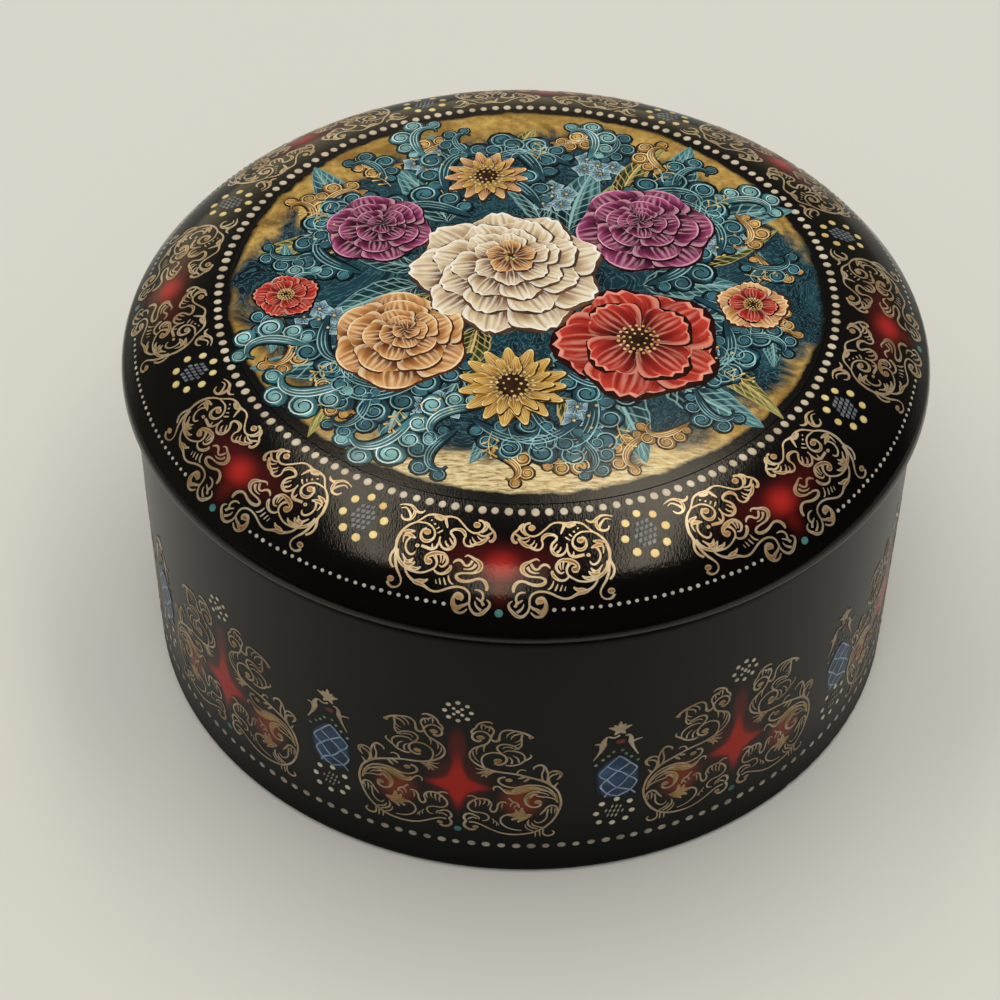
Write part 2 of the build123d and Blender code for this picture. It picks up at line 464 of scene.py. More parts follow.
def makeLidLacquer():
    # black lacquer over pressed papier-mache, polished to a mirror; red shows through between the scrolls
    values = lidValues
    material, shader, add = newMaterial("polished black lacquer")
    turn, reach, up = polar(add)
    across = repeatAcross(add, turn, values["fields"], values["offset"], lidShape["flatRadius"])
    core, stem, wide = (softSpot(add, across, reach, *values[spot]) for spot in ("core", "stem", "wide"))
    faint = add("Math", [stem, values["stemShare"]], operation="MULTIPLY")
    bright = add("Math", [core, faint], operation="MAXIMUM")
    dull = add("Mix", {0: wide, 6: values["black"], 7: values["redDull"]}, data_type="RGBA")
    face = add("Mix", {0: bright, 6: dull, 7: values["red"]}, data_type="RGBA")
    # a painted highlight on the lip's lower edge, as light from the front would catch it; it fades towards
    # the sides
    highlightBand = add("MapRange", [up, *values["highlightBand"]])
    sideways = add("Math", [turn], operation="ABSOLUTE")
    faced = add("MapRange", [sideways, *values["highlightFront"]])
    paintedHighlight = add("Math", [highlightBand, faced], operation="MULTIPLY")
    lip = add("Mix", {0: paintedHighlight, 6: face, 7: values["edge"]}, data_type="RGBA")
    within = add("Math", [reach, values["insideReach"]], operation="LESS_THAN")
    inside = add("Math", [facesDown(add, values["under"]), within], operation="MULTIPLY")
    colour = add("Mix", {0: inside, 6: lip, 7: redLacquerColour(add)}, data_type="RGBA")
    underLacquer(add, shader, "lid", colour)
    plug(shader, {"Coat Weight": add("MapRange", [up, *values["rimCoatFade"]])})
    return material


def makeWallLacquer():
    # the same lacquer left satin on the wall, with a red four-armed star glowing behind each cartouche
    values = wallValues
    material, shader, add = newMaterial("satin black lacquer")
    turn, reach, up = polar(add)
    middle, field, step = (math.radians(degrees) for degrees in values["late"])
    near = add("Math", [turn, middle, field], operation="COMPARE")
    fitted = add("Math", [near, -step, turn], operation="MULTIPLY_ADD")
    across = repeatAcross(add, fitted, values["fields"], values["offset"], wallShape["flatRadius"])
    side = add("Math", [across], operation="ABSOLUTE")
    level, upright, heart = (softSpot(add, side, up, *spot) for spot in values["star"])
    cross = add("Math", [level, upright], operation="MAXIMUM")
    whole = add("Math", [cross, heart], operation="ADD")
    lit = add("MapRange", [whole, *values["starEdge"]], interpolation_type="SMOOTHSTEP")
    star = add("Math", [lit, add("MapRange", [up, *values["starTop"]])], operation="MULTIPLY")
    wide, plume = (softSpot(add, side, up, *values[spot]) for spot in ("wide", "plume"))
    low = add("Math", [wide, plume], operation="MAXIMUM")
    flank = add("Math", [side, values["flank"]], operation="SUBTRACT")
    behind = softSpot(add, flank, up, *values["behind"])
    dull = add("Mix", {0: low, 6: values["black"], 7: values["redDull"]}, data_type="RGBA")
    warm = add("Mix", {0: behind, 6: dull, 7: values["ember"]}, data_type="RGBA")
    face = add("Mix", {0: star, 6: warm, 7: values["red"]}, data_type="RGBA")
    outside = add("Math", [reach, values["outside"]], operation="GREATER_THAN")
    colour = add("Mix", {0: outside, 6: values["black"], 7: face}, data_type="RGBA")
    underLacquer(add, shader, "wall", colour)
    # painted shade: the coat, and so its reflection, is taken away just under the lid, and eased off towards
    # the foot
    left = add("MapRange", [add("Math", [turn], operation="ABSOLUTE"), *values["shadeUnderLidSides"]])
    bare = add("MapRange", [up, *values["shadeUnderLid"], 1.0, left])
    varnish = add("Math", [bare, add("MapRange", [up, *values["foot"]])], operation="MULTIPLY")
    plug(shader, {"Coat Weight": varnish})
    return material


def makeRedLacquer():
    material, shader, add = newMaterial("brushed red lacquer")
    underLacquer(add, shader, "wall", redLacquerColour(add))
    return material


def makeFloorLacquer():
    # red inside the box, black underneath
    material, shader, add = newMaterial("floor lacquer")
    down = facesDown(add, insideValues["under"])
    colour = add("Mix", {0: down, 6: redLacquerColour(add), 7: wallValues["black"]}, data_type="RGBA")
    underLacquer(add, shader, "wall", colour)
    return material


def dressNode(name, material):
    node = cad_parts[name]
    node.data.materials.clear()
    node.data.materials.append(material)
    node.data.polygons.foreach_set("material_index", [0] * len(node.data.polygons))


# Brush work: flat patterns in millimetres, laid on a surface and copied round it

brushSection = [(-1, 0), (-0.7, 0.3), (0, 0.4), (0.7, 0.3), (1, 0), (0, -0.2)]
# place and width in a drop
dropShares = [(-0.485, 0.26), (-0.3, 0.8), (0, 1.0), (0.3, 0.8), (0.485, 0.26)]


def makeBrush():
    # section of a stroke of paint: low and rounded, with thin edges
    section = bpy.data.curves.new("brush", "CURVE")
    outline = section.splines.new("POLY")
    outline.points.add(len(brushSection) - 1)
    for point, corner in zip(outline.points, brushSection):
        point.co = (*corner, 0, 1)
    outline.use_cyclic_u = True
    brush = bpy.data.objects.new("brush", section)
    scene.collection.objects.link(brush)
    return brush


def drop(across, along, width):
    # a round touch of the brush, as a short stroke
    return [(across + side * width, along, share * width) for side, share in dropShares]


def paintStrokes(name, strokes, steps=4):
    # each stroke is a line of points (across, along, width); the mesh lies flat, in millimetres
    line = bpy.data.curves.new(name, "CURVE")
    line.dimensions = "3D"
    line.twist_mode = "Z_UP"
    line.bevel_mode = "OBJECT"
    line.bevel_object = brush
    line.use_fill_caps = True
    line.resolution_u = steps
    for stroke in strokes:
        spline = line.splines.new("BEZIER")
        spline.bezier_points.add(len(stroke) - 1)
        for point, (across, along, width) in zip(spline.bezier_points, stroke):
            point.co = (across, along, 0)
            point.radius = width / 2
            point.handle_left_type = point.handle_right_type = "AUTO"
    piece = bpy.data.objects.new(name, line)
    scene.collection.objects.link(piece)
    bpy.ops.object.select_all(action="DESELECT")
    piece.select_set(True)
    bpy.context.view_layer.objects.active = piece
    bpy.ops.object.convert(target="MESH")
    mesh = flatMesh(name)
    for vertex in mesh.vertices:
        height = vertex.co.z
        vertex.co.z = -film["bury"] if height < -1e-6 else min(height, film["thick"])
    return mesh


def layOn(name, parts, materials, surface, body):
    # parts are flat patterns, each with its place on the flat and its material's number
    place = {"lid": onLid, "wall": onWall, "picture": onPicture}[surface]
    build = bmesh.new()
    for pattern, matrix, slot in parts:
        copy = pattern.copy()
        copy.transform(matrix)
        copy.polygons.foreach_set("material_index", [slot] * len(copy.polygons))
        build.from_mesh(copy)
        bpy.data.meshes.remove(copy)
    for vertex in build.verts:
        vertex.co = place(*vertex.co)
    bmesh.ops.recalc_face_normals(build, faces=build.faces)
    mesh = bpy.data.meshes.new(name)
    build.to_mesh(mesh)
    build.free()
    for material in materials:
        mesh.materials.append(material)
    mesh.polygons.foreach_set("use_smooth", [True] * len(mesh.polygons))
    return hang(name, mesh, body)


def hang(name, mesh, body):
    # a new piece of paint that moves with a body
    piece = bpy.data.objects.new(name, mesh)
    scene.collection.objects.link(piece)
    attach(piece, body)
    return piece


def copyRound(piece, turns, body):
    # turns a finished piece and its copies about the axis, each with its own mesh; degrees from the front
    stem = piece.name
    for number, turn in enumerate(turns[1:], 2):
        copy = hang(f"{stem}_{number}", piece.data.copy(), body)
        copy.data.transform(Matrix.Rotation(math.radians(turn), 4, "Z"))
    piece.name = stem + "_1"
    piece.data.transform(Matrix.Rotation(math.radians(turns[0]), 4, "Z"))


def shift(across, along, turn=0.0, size=1.0, height=0.0, hand=1):
    # a place on the flat; a hand of -1 mirrors the pattern
    spot = Matrix.Translation((across, along, height)) @ Matrix.Rotation(turn, 4, "Z")
    return spot @ Matrix.Diagonal((hand * size, size, 1, 1))


def waver(most):
    return dice.uniform(-most, most)


def flatMesh(name):
    # takes the mesh of the object that was just made, and drops the object
    piece = bpy.context.object
    mesh = piece.data.copy()
    mesh.name = name
    bpy.data.objects.remove(piece)
    return mesh


def makeBead(name, width, height=None, sides=10, rings=4):
    # a drop of thick paint: a flattened ball, cut off below the lacquer
    bpy.ops.object.select_all(action="DESELECT")
    bpy.ops.mesh.primitive_uv_sphere_add(segments=sides, ring_count=rings, radius=1)
    bpy.ops.object.mode_set(mode="EDIT")
    bpy.ops.mesh.select_all(action="SELECT")
    bpy.ops.transform.resize(value=(width / 2, (height or width) / 2, film["bead"]))
    bpy.ops.mesh.bisect(plane_co=(0, 0, -film["bury"]), plane_no=(0, 0, -1), clear_outer=True, use_fill=True)
    bpy.ops.object.mode_set(mode="OBJECT")
    return flatMesh(name)


def makeTile(name, width, height):
    # a small four-cornered touch of paint
    bpy.ops.object.select_all(action="DESELECT")
    bpy.ops.mesh.primitive_cylinder_add(vertices=4, radius=1, depth=1)
    bpy.ops.object.mode_set(mode="EDIT")
    bpy.ops.mesh.select_all(action="SELECT")
    bpy.ops.transform.resize(value=(width / 2, height / 2, film["thick"] + film["bury"]))
    bpy.ops.transform.translate(value=(0, 0, (film["thick"] - film["bury"]) / 2))
    bpy.ops.object.mode_set(mode="OBJECT")
    return flatMesh(name)


def beadRow(bead, places, pitch, along, uneven):
    # beads a little off their places and sizes: how much across, along, smaller and larger
    return [(bead, shift(pitch * (place + waver(uneven[0])), along + waver(uneven[1]), 0,
                         1 + dice.uniform(-uneven[2], uneven[3])), 0) for place in places]


def beadRing(bead, centre, reach, count, first, size, uneven):
    # beads in a ring, the first at so many degrees; the reach is across and along
    turns = [math.radians(first + 360 / count * number) for number in range(count)]
    return [(bead, shift(centre[0] + reach[0] * math.sin(turn), centre[1] + reach[1] * math.cos(turn), 0,
                         size * (1 + waver(uneven))), 0) for turn in turns]


# Half a cartouche of the lid: each stroke's points are millimetres from the middle line, millimetres down
# the lid, and the stroke's width there.
lidScroll = {
    "strokes": [
        [(16.3, 5.05, 0.15), (15.4, 4.72, 0.3), (14.5, 4.72, 0.45), (13.8, 5.15, 0.6), (13.1, 5.45, 0.45),
         (12.6, 5.35, 0.4), (12.2, 4.95, 0.2)],
        [(15.9, 5.5, 0.12), (15.2, 5.25, 0.25), (14.6, 5.6, 0.35), (14.1, 6.15, 0.45), (13.9, 6.6, 0.4)],
        [(13.7, 5.4, 0.5), (13.6, 6.1, 0.6), (13.9, 6.75, 0.5), (14.5, 7.05, 0.4), (15.1, 6.9, 0.33),
         (15.45, 6.45, 0.2)],
        [(12.9, 7, 0.25), (12.3, 6.35, 0.3), (11.6, 5.6, 0.33), (10.8, 5.3, 0.4), (10, 5.3, 0.55),
         (9.2, 5.35, 0.5), (8.5, 5.2, 0.4), (7.8, 5.1, 0.3), (7, 5.3, 0.3), (6.3, 5.85, 0.28),
         (5.6, 6.45, 0.3), (4.8, 7, 0.3), (4, 7.15, 0.35), (3.35, 6.85, 0.35), (2.95, 6.3, 0.38),
         (2.9, 5.7, 0.4), (3.3, 5.2, 0.4), (3.9, 5.1, 0.4)],
        [(10.6, 5.6, 0.25), (10, 5.75, 0.5), (9.4, 5.85, 0.45), (9, 5.6, 0.3)],
        [(8.9, 5.4, 0.5), (8.65, 6, 0.5), (8.35, 6.6, 0.35), (8.2, 6.95, 0.12)],
        [(2.9, 5.2, 0.3), (2.35, 5.6, 0.38), (2.05, 6.15, 0.35), (1.6, 6.55, 0.38), (1.28, 7.1, 0.45),
         (1.3, 7.7, 0.55), (1.75, 8.15, 0.5), (2, 8, 0.3)],
        [(2.65, 5.6, 0.2), (2.45, 6.1, 0.3), (2.75, 6.6, 0.3), (3.2, 7, 0.25)],
        [(3.8, 7.15, 0.25), (3.1, 7.45, 0.32), (2.5, 7.42, 0.38), (2.05, 7.1, 0.4), (1.65, 6.8, 0.3)],
        [(2, 7.5, 0.3), (2.35, 7.8, 0.5), (2.7, 8.2, 0.6), (3.2, 8.55, 0.6), (3.8, 8.75, 0.5),
         (4.4, 9.1, 0.4), (5, 9.15, 0.33), (5.45, 8.75, 0.28), (5.55, 8.2, 0.28), (5.4, 7.75, 0.3)],
        [(4.45, 7.75, 0.12), (4.25, 8.15, 0.22), (3.85, 8.5, 0.35)],
        [(4.7, 8.2, 0.12), (4.55, 8.65, 0.22), (4.2, 8.95, 0.3)],
        [(3.75, 7.5, 0.12), (3.4, 7.9, 0.25), (2.9, 8.05, 0.32), (2.4, 7.85, 0.4)],
        [(5.4, 7.9, 0.3), (5.6, 7.4, 0.6), (6.05, 7, 0.62), (6.7, 6.92, 0.52), (7.3, 7.1, 0.45),
         (7.58, 7.5, 0.42), (7.25, 7.95, 0.4), (6.85, 8.4, 0.38), (6.7, 9, 0.45), (6.95, 9.65, 0.55),
         (7.6, 10.05, 0.48), (8.25, 9.9, 0.36), (8.7, 9.4, 0.3), (8.92, 8.85, 0.28), (8.92, 8.4, 0.25)],
        [(8.05, 8.85, 0.2), (7.9, 9.25, 0.28), (7.4, 9.65, 0.4)],
        [(7.6, 8.35, 0.15), (7.3, 8.75, 0.28), (6.95, 9.2, 0.35)],
        [(8.9, 8.9, 0.28), (8.98, 9.6, 0.35), (9.2, 10.1, 0.42), (9.75, 10.38, 0.5), (10.4, 10.3, 0.5),
         (11.15, 10.2, 0.45)],
        [(9.75, 9.6, 0.12), (9.7, 9.95, 0.28), (9.55, 10.25, 0.35)],
        [(12.9, 6.95, 0.28), (12, 6.85, 0.28), (11.2, 6.85, 0.3), (10.5, 7.15, 0.3), (9.95, 7.7, 0.32),
         (9.72, 8.35, 0.35), (9.9, 8.95, 0.42), (10.4, 9.35, 0.55), (11, 9.4, 0.58), (11.5, 9.05, 0.52),
         (11.68, 8.5, 0.42), (11.55, 7.9, 0.4), (11.1, 7.6, 0.45)],
        [(12.8, 6.95, 0.28), (13.4, 7.38, 0.33), (13.95, 7.95, 0.4), (14.35, 8.7, 0.48), (14.55, 9.5, 0.52),
         (14.62, 10.3, 0.5), (14.5, 11, 0.4), (14.5, 11.5, 0.42), (14.72, 12.1, 0.42), (14.78, 12.8, 0.38),
         (14.5, 13.5, 0.38), (14, 14, 0.35)],
        [(14.4, 11.2, 0.35), (14.25, 12, 0.42), (14.05, 12.8, 0.45), (13.8, 13.5, 0.42), (13.4, 14.2, 0.38),
         (12.95, 14.8, 0.3), (12.62, 15.4, 0.26), (12.6, 15.95, 0.25), (12.9, 16.4, 0.27),
         (13.4, 16.6, 0.32), (13.95, 16.45, 0.42), (14.3, 16, 0.42)],
        [(14, 8.9, 0.6), (13.6, 8.6, 0.7), (13.1, 8.48, 0.55), (12.6, 8.35, 0.28)],
        [(13.9, 9.2, 0.45), (13.3, 9.05, 0.7), (12.8, 9.15, 0.6), (12.2, 9.35, 0.25)],
        [(12.95, 9.35, 0.4), (13.25, 9.9, 0.32), (13.3, 10.5, 0.3), (13.12, 11.05, 0.32),
         (12.75, 11.5, 0.35), (12.25, 11.7, 0.35), (11.85, 11.45, 0.28), (11.75, 11.15, 0.15)],
        [(13.9, 9.2, 0.3), (13.85, 9.8, 0.26), (13.72, 10.35, 0.12)],
        [(14.15, 11.4, 0.4), (13.9, 12.2, 0.4), (13.45, 12.9, 0.55), (12.85, 13.35, 0.55),
         (12.15, 13.7, 0.45), (11.4, 13.88, 0.36), (10.6, 13.9, 0.3), (9.9, 13.7, 0.28), (9.3, 13.35, 0.28),
         (8.85, 13, 0.3)],
        [(13.35, 11.85, 0.2), (12.95, 12.35, 0.35), (12.5, 12.75, 0.6), (12, 12.5, 0.45),
         (11.75, 12.1, 0.15)],
        [(12.9, 13, 0.45), (12.2, 13.1, 0.75), (11.7, 12.9, 0.55), (11.4, 12.55, 0.18)],
        [(12.1, 13.5, 0.4), (11.4, 13.5, 0.6), (10.9, 13.42, 0.5), (10.5, 13.1, 0.2)],
        [(12.6, 13.3, 0.3), (12.35, 13.95, 0.3), (11.9, 14.55, 0.34), (11.3, 15, 0.42), (10.6, 15.3, 0.62),
         (10, 15.38, 0.62), (9.4, 15.62, 0.42), (8.75, 15.95, 0.35), (8, 16, 0.34), (7.25, 15.72, 0.34),
         (6.5, 15.3, 0.34), (5.75, 15.02, 0.34), (5, 14.95, 0.34), (4.3, 15.15, 0.33), (3.82, 15.65, 0.32),
         (3.7, 16.3, 0.3), (3.72, 16.95, 0.3)],
        [(10.8, 15.05, 0.4), (10.2, 14.95, 0.62), (9.7, 14.9, 0.55), (9.25, 14.55, 0.25)],
        [(4.78, 16.72, 0.3), (4.6, 16.3, 0.45), (4.85, 15.92, 0.5), (5.3, 15.85, 0.5), (5.65, 16.3, 0.42),
         (5.72, 16.95, 0.62), (5.5, 17.55, 0.85), (5.05, 17.75, 0.75), (4.6, 17.45, 0.55),
         (4.15, 17.22, 0.42), (3.8, 16.9, 0.3)],
        [(5.6, 17.7, 0.6), (5.15, 18.25, 0.5), (4.65, 18.38, 0.4), (4.2, 18.15, 0.32), (3.88, 17.75, 0.2)],
        [(3.72, 16.9, 0.3), (3.58, 17.45, 0.3), (3.25, 18, 0.38), (2.75, 18.35, 0.48), (2.15, 18.25, 0.55),
         (1.65, 17.75, 0.52), (1.25, 17.25, 0.42), (1.18, 16.7, 0.32), (1.6, 16.25, 0.15)],
        [(3, 16.6, 0.12), (2.9, 17.05, 0.25), (2.55, 17.5, 0.38), (2.15, 17.8, 0.45)],
        [(3.2, 15.08, 0.18), (2.6, 15.12, 0.32), (2.15, 15.5, 0.34), (2.02, 16, 0.34), (2.15, 16.55, 0.38),
         (1.9, 17.1, 0.45)],
        [(2.9, 16.1, 0.18), (2.5, 16.38, 0.3), (2.15, 16.65, 0.32)],
        [(1.68, 15.1, 0.35), (1.68, 14.55, 0.52), (1.95, 13.95, 0.52), (2.5, 13.58, 0.42),
         (3.05, 13.6, 0.38), (3.6, 13.85, 0.42), (4.25, 14.05, 0.48), (4.95, 14.08, 0.52),
         (5.55, 13.85, 0.52), (5.72, 13.45, 0.45), (5.35, 13.12, 0.35), (4.6, 12.98, 0.28),
         (3.85, 12.9, 0.32), (3.25, 12.65, 0.48), (2.8, 12.2, 0.68), (2.75, 11.6, 0.72), (3.15, 11.15, 0.58),
         (3.7, 10.88, 0.42), (4.2, 10.62, 0.34), (4.7, 10.5, 0.26), (5, 10.75, 0.15)],
        [(6.42, 11.8, 0.18), (6.1, 11.42, 0.38), (5.65, 11.28, 0.42), (5.2, 11.5, 0.38), (4.85, 11.88, 0.3),
         (4.45, 11.92, 0.34), (4.12, 11.6, 0.38), (3.9, 11.15, 0.38)],
        [(4.95, 12.42, 0.12), (4.3, 12.4, 0.25), (3.7, 12.1, 0.38), (3.4, 11.6, 0.5)],
        [(9.95, 12.1, 0.8), (10.05, 11.6, 0.6), (9.7, 11.2, 0.72), (9.15, 10.92, 0.8), (8.5, 10.75, 0.62),
         (7.9, 10.78, 0.52), (7.42, 11.18, 0.48), (7.22, 11.75, 0.45), (7.45, 12.28, 0.38),
         (7.85, 12.55, 0.28), (8.2, 12.38, 0.15)],
        [(9.1, 11.2, 0.55), (8.72, 11.65, 0.42), (8.55, 12.2, 0.34), (8.65, 12.7, 0.3), (8.85, 13.05, 0.28)],
        [(8.25, 10.95, 0.32), (8.1, 11.55, 0.22), (8.1, 12.05, 0.1)],
        [(7.75, 11, 0.3), (7.72, 11.6, 0.28), (7.85, 12.1, 0.12)],
        [(8.8, 13.05, 0.26), (8.4, 13.42, 0.32), (7.85, 13.55, 0.38), (7.3, 13.35, 0.48), (6.85, 12.9, 0.58),
         (6.65, 12.45, 0.5), (6.7, 12.15, 0.3)],
        [(8.28, 14.4, 0.1), (8.1, 14.95, 0.18)],
        [(7.85, 14.15, 0.12), (7.68, 14.6, 0.24), (7.55, 14.95, 0.2)],
        [(7.3, 14, 0.14), (7.12, 14.45, 0.28), (6.9, 14.9, 0.24)],
        [(6.78, 13.55, 0.14), (6.55, 14.2, 0.32), (6.2, 14.6, 0.26), (5.95, 14.68, 0.12)],
        [(9.78, 7.4, 0.16), (9.4, 7.02, 0.26)],
        [(9.45, 7.95, 0.16), (9.1, 7.7, 0.3), (8.8, 7.4, 0.24)],
    ],
    "drops": [(4.05, 5.85, 1.1), (10.9, 8.05, 1.05), (13.95, 15.55, 0.95), (5.05, 16.25, 0.95),
              (9.7, 12.15, 1.05), (11.7, 10.3, 0.6), (10.8, 6.22, 0.3), (10.15, 6.7, 0.34)],
}


def bothSides(values, share):
    # the half cartouche and its mirror image, drawn with a brush of that share of the width
    strokes = values["strokes"] + [drop(*spot) for spot in values["drops"]]
    return [[(side * across, along, width * share) for across, along, width in stroke]
            for side in (-1, 1) for stroke in strokes]


def fillOf(strokes, least, rim):
    # ochre inside the broad strokes, which leaves a pale rim on each side
    broad = [stroke for stroke in strokes if max(width for across, along, width in stroke) > least]
    return [[(across, along, max(0.02, width - 2 * rim)) for across, along, width in stroke]
            for stroke in broad]


lidPaints = {                        # dark, middle and pale tone, then patch in mm, metal and roughness
    "pale shell gold": (("#C8AA84", "#E6CEA8", "#F6E8CA"), 2.6, 0.72, 0.40),
    "ochre shell gold": (("#8E6238", "#BA8E56", "#D6AF78"), 2.2, 0.6, 0.40),
    "cream tempera": (("#A99A82", "#C4B69E", "#D4C9B2"), 2.2),
    "silver grey tempera": (("#9A958A", "#B5AFA3", "#C6C0B2"), 1.5),
    "teal tempera": (("#35625F", "#487B76", "#5C908A"), 1.5),
    "bright shell gold": (("#DDB872", "#EBD48E", "#F6E9AC"), 2.5, 0.3, 0.42),
    "grey blue tempera": (("#4A5058", "#62686F", "#7F8488"), 1.0),
}
lidTrim = {
    "brush": 0.92,                   # share of the strokes' widths that the brush lays
    "fill": (0.5, 0.13),             # how broad a stroke has ochre in it, and the rim left beside it
    "innerBeads": {"count": 154, "outward": 3.3, "width": 1.38, "uneven": (0.06, 0.06, 0.10, 0.08)},
    "outerBeads": {"from": 6.7, "to": 34.1, "count": 25, "outward": 17.45, "width": 0.58,
                   "uneven": (0.06, 0.04, 0.12, 0.12)},
    "tealDot": {"outward": 18.0, "width": 1.08, "height": 1.15},
    "rosette": {"centre": (20.3, 8.5), "reach": (3.15, -3.15), "count": 8, "first": -6.0, "width": 1.28,
                "uneven": 0.06},
    "hatch": {"tile": (0.62, 0.90), "reach": 1.85, "step": (0.74, -0.11), "row": (0.38, 0.74), "turn": 33},
}


def decorateLid():
    gold, ochre, cream, pale, teal, yellow, blue = mixPaints("lid", lidPaints)
    count = lidValues["fields"]
    field = math.tau * lidShape["flatRadius"] / count
    start = Matrix.Rotation(math.radians(lidValues["offset"]), 4, "Z")
    turns = [lidValues["offset"] + 360 * number / count for number in range(count)]

    strokes = bothSides(lidScroll, lidTrim["brush"])
    fill = paintStrokes("lidFill", fillOf(strokes, *lidTrim["fill"]), 3)
    parts = [(paintStrokes("lidScroll", strokes), Matrix(), 0), (fill, shift(0, 0, height=film["over"]), 1)]
    copyRound(layOn("lidScroll", parts, [gold, ochre], "lid", "lid"), turns, "lid")

    values, hatch = lidTrim["rosette"], lidTrim["hatch"]
    bead = makeBead("goldDot", values["width"])
    parts = beadRing(bead, values["centre"], values["reach"], values["count"], values["first"], 1,
                     values["uneven"])
    tile = makeTile("blueTile", *hatch["tile"])
    for row in range(-2, 3):
        for column in range(-2, 3):
            right = column * hatch["step"][0] + row * hatch["row"][0]
            down = row * hatch["row"][1] + column * hatch["step"][1]
            if math.hypot(right, down) < hatch["reach"]:
                spot = (values["centre"][0] + right, values["centre"][1] + down)
                parts.append((tile, shift(*spot, math.radians(hatch["turn"])), 1))
    copyRound(layOn("lidRosette", parts, [yellow, blue], "lid", "lid"), turns, "lid")

    values = lidTrim["innerBeads"]
    pitch = math.tau * lidShape["flatRadius"] / values["count"]
    parts = beadRow(makeBead("creamBead", values["width"]), range(values["count"]), pitch, values["outward"],
                    values["uneven"])
    layOn("lidInnerBeads", parts, [cream], "lid", "lid")

    values = lidTrim["outerBeads"]
    gap = values["to"] - values["from"]
    places = [field * number + (values["from"] + gap * step / (values["count"] - 1))
              for number in range(count) for step in range(values["count"])]
    parts = beadRow(makeBead("greyBead", values["width"], sides=8), places, 1, values["outward"],
                    values["uneven"])
    layOn("lidOuterBeads", parts, [pale], "lid", "lid").data.transform(start)

    values = lidTrim["tealDot"]
    bead = makeBead("tealDot", values["width"], values["height"], sides=14, rings=6)
    parts = [(bead, shift(field * number, values["outward"]), 0) for number in range(count)]
    layOn("lidTealDots", parts, [teal], "lid", "lid").data.transform(start)
    print("lid: scrolls, rosettes, beads")


